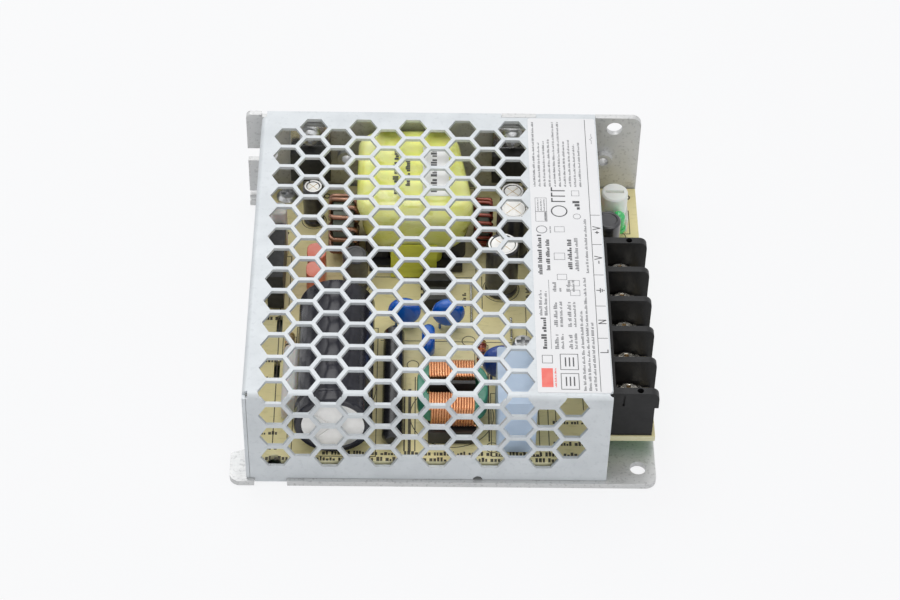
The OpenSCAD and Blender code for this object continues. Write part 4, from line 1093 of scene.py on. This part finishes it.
for x, y, r in CIRCLES:
    board_ring(x, y, r, r - BOARD_LINE, 24)
for row in ROWS:
    board_row(*row)
for n, (x, y) in enumerate(SHORT_LINES):
    board_fields += at_height(words(x, y, y + 5.2, 0.95, 130 + n), BOARD_TOP)
for x, y in PADS:
    board_ring(x, y, *PAD_RING)
board_fields += at_height(words(36.4, 34.0, 43.0, 1.0, 140), BOARD_TOP)
make("board_print", board_fields, [board_ink])

# Sticker on the transformer, then lines of print from the tape's middle: X, ends, height, seed
STICKER_SIZE = (6.4, 17.6, 0.06)
STICKER_X, STICKER_Y = TAPE_MIDDLE.x + 4.7, TAPE_MIDDLE.y - 0.7
STICKER_Z = TAPE_HIGH.z + STICKER_SIZE[2] / 2
TAPE_PRINT = [(-5.2, -9.0, 9.6, 1.4, 201), (-2.2, -6.0, 8.0, 1.1, 202), (4.2, -8.2, 8.6, 1.5, 203)]
TAPE_PRINT_SHARE = 0.85
sticker = box_part((STICKER_X, STICKER_Y, STICKER_Z), STICKER_SIZE)
make("transformer_sticker", [sticker], [film])
codes = []
for x, y0, y1, height, seed in TAPE_PRINT:
    line = words(TAPE_MIDDLE.x + x, TAPE_MIDDLE.y + y0, TAPE_MIDDLE.y + y1, height, seed,
                 TAPE_PRINT_SHARE)
    codes += at_height(line, STICKER_Z + STICKER_SIZE[2] / 2)
make("transformer_print", codes, [ink])

# ---------------- stage, light and camera

BACKDROP = (0.975, 0.977, 0.985, 1)
SKY = (0.95, 0.97, 1.0, 1)
SKY_STRENGTH = 0.34
PAPER = (0.86, 0.865, 0.875, 1)
PAPER_SHOWN = 0.86
FLOOR_HALF = 3.0
FLOOR_Z = -0.0002

# Turned to the right of +Y, down from level, and rolled, in degrees; place in millimetres
YAW, PITCH, ROLL = (math.radians(a) for a in (1.237, 45.535, 1.436))
CAMERA_PLACE = (-7.53, -422.89, 443.43)
LENS_MM = 99.9
SENSOR_MM = 36


def light_path_mix(tree, plain, shown, share):
    """Plain shading, mixed by share with what camera, glossy and transmitted rays are shown."""
    add, link = tree.nodes.new, tree.links.new
    path = add("ShaderNodeLightPath")
    either, both, scaled = (add("ShaderNodeMath") for _ in range(3))
    either.operation = both.operation = "MAXIMUM"
    scaled.operation = "MULTIPLY"
    scaled.inputs[1].default_value = share
    mix = add("ShaderNodeMixShader")
    link(path.outputs["Is Camera Ray"], either.inputs[0])
    link(path.outputs["Is Glossy Ray"], either.inputs[1])
    link(either.outputs[0], both.inputs[0])
    link(path.outputs["Is Transmission Ray"], both.inputs[1])
    link(both.outputs[0], scaled.inputs[0])
    link(scaled.outputs[0], mix.inputs["Fac"])
    link(plain, mix.inputs[1])
    link(shown, mix.inputs[2])
    return mix.outputs[0]


def lamp(name, place, aim, size, power):
    """A square area lamp; place, aim and size in metres, power in watts."""
    light = bpy.data.lights.new(name, "AREA")
    light.shape = "SQUARE"
    light.size = size
    light.energy = power
    holder = bpy.data.objects.new(name, light)
    bpy.context.scene.collection.objects.link(holder)
    holder.location = place
    holder.rotation_euler = (Vector(aim) - Vector(place)).to_track_quat("-Z", "Y").to_euler()


world = bpy.data.worlds.new("studio")
bpy.context.scene.world = world
world.use_nodes = True
tree = world.node_tree
dim = tree.nodes["Background"]
dim.inputs["Color"].default_value = SKY
dim.inputs["Strength"].default_value = SKY_STRENGTH
bright = tree.nodes.new("ShaderNodeBackground")
bright.inputs["Color"].default_value = BACKDROP
tree.links.new(light_path_mix(tree, dim.outputs[0], bright.outputs[0], 1.0),
               tree.nodes["World Output"].inputs["Surface"])

floor_mesh = bpy.data.meshes.new("floor")
floor_mesh.from_pydata([(x * FLOOR_HALF, y * FLOOR_HALF, FLOOR_Z)
                        for x, y in ((-1, -1), (1, -1), (1, 1), (-1, 1))], [], [(0, 1, 2, 3)])
floor = bpy.data.objects.new("floor", floor_mesh)
bpy.context.scene.collection.objects.link(floor)
paper = bpy.data.materials.new("floor_paper")
paper.use_nodes = True
tree = paper.node_tree
tree.nodes.remove(tree.nodes["Principled BSDF"])
matt = tree.nodes.new("ShaderNodeBsdfDiffuse")
matt.inputs["Color"].default_value = PAPER
glow = tree.nodes.new("ShaderNodeEmission")
glow.inputs["Color"].default_value = BACKDROP
tree.links.new(light_path_mix(tree, matt.outputs[0], glow.outputs[0], PAPER_SHOWN),
               tree.nodes["Material Output"].inputs["Surface"])
floor_mesh.materials.append(paper)

lamp("key", (-0.2, 0.22, 0.82), (0, 0, 0), 1.0, 5.9)
lamp("fill", (0.45, -0.75, 0.35), (0, 0, 0.02), 0.8, 2.35)

camera_data = bpy.data.cameras.new("camera")
camera_data.sensor_width = SENSOR_MM
camera_data.lens = LENS_MM
camera_data.clip_start = 0.01
camera = bpy.data.objects.new("camera", camera_data)
bpy.context.scene.collection.objects.link(camera)
ahead = Vector((math.sin(YAW) * math.cos(PITCH), math.cos(YAW) * math.cos(PITCH), -math.sin(PITCH)))
level = Vector((math.cos(YAW), -math.sin(YAW), 0))
upward = level.cross(ahead)
right = math.cos(ROLL) * level + math.sin(ROLL) * upward
up = -math.sin(ROLL) * level + math.cos(ROLL) * upward
axes = Matrix((right, up, -ahead)).transposed()
camera.matrix_world = Matrix.Translation(Vector(CAMERA_PLACE) * MM) @ axes.to_4x4()
bpy.context.scene.camera = camera
bpy.context.scene.view_settings.view_transform = "Standard"
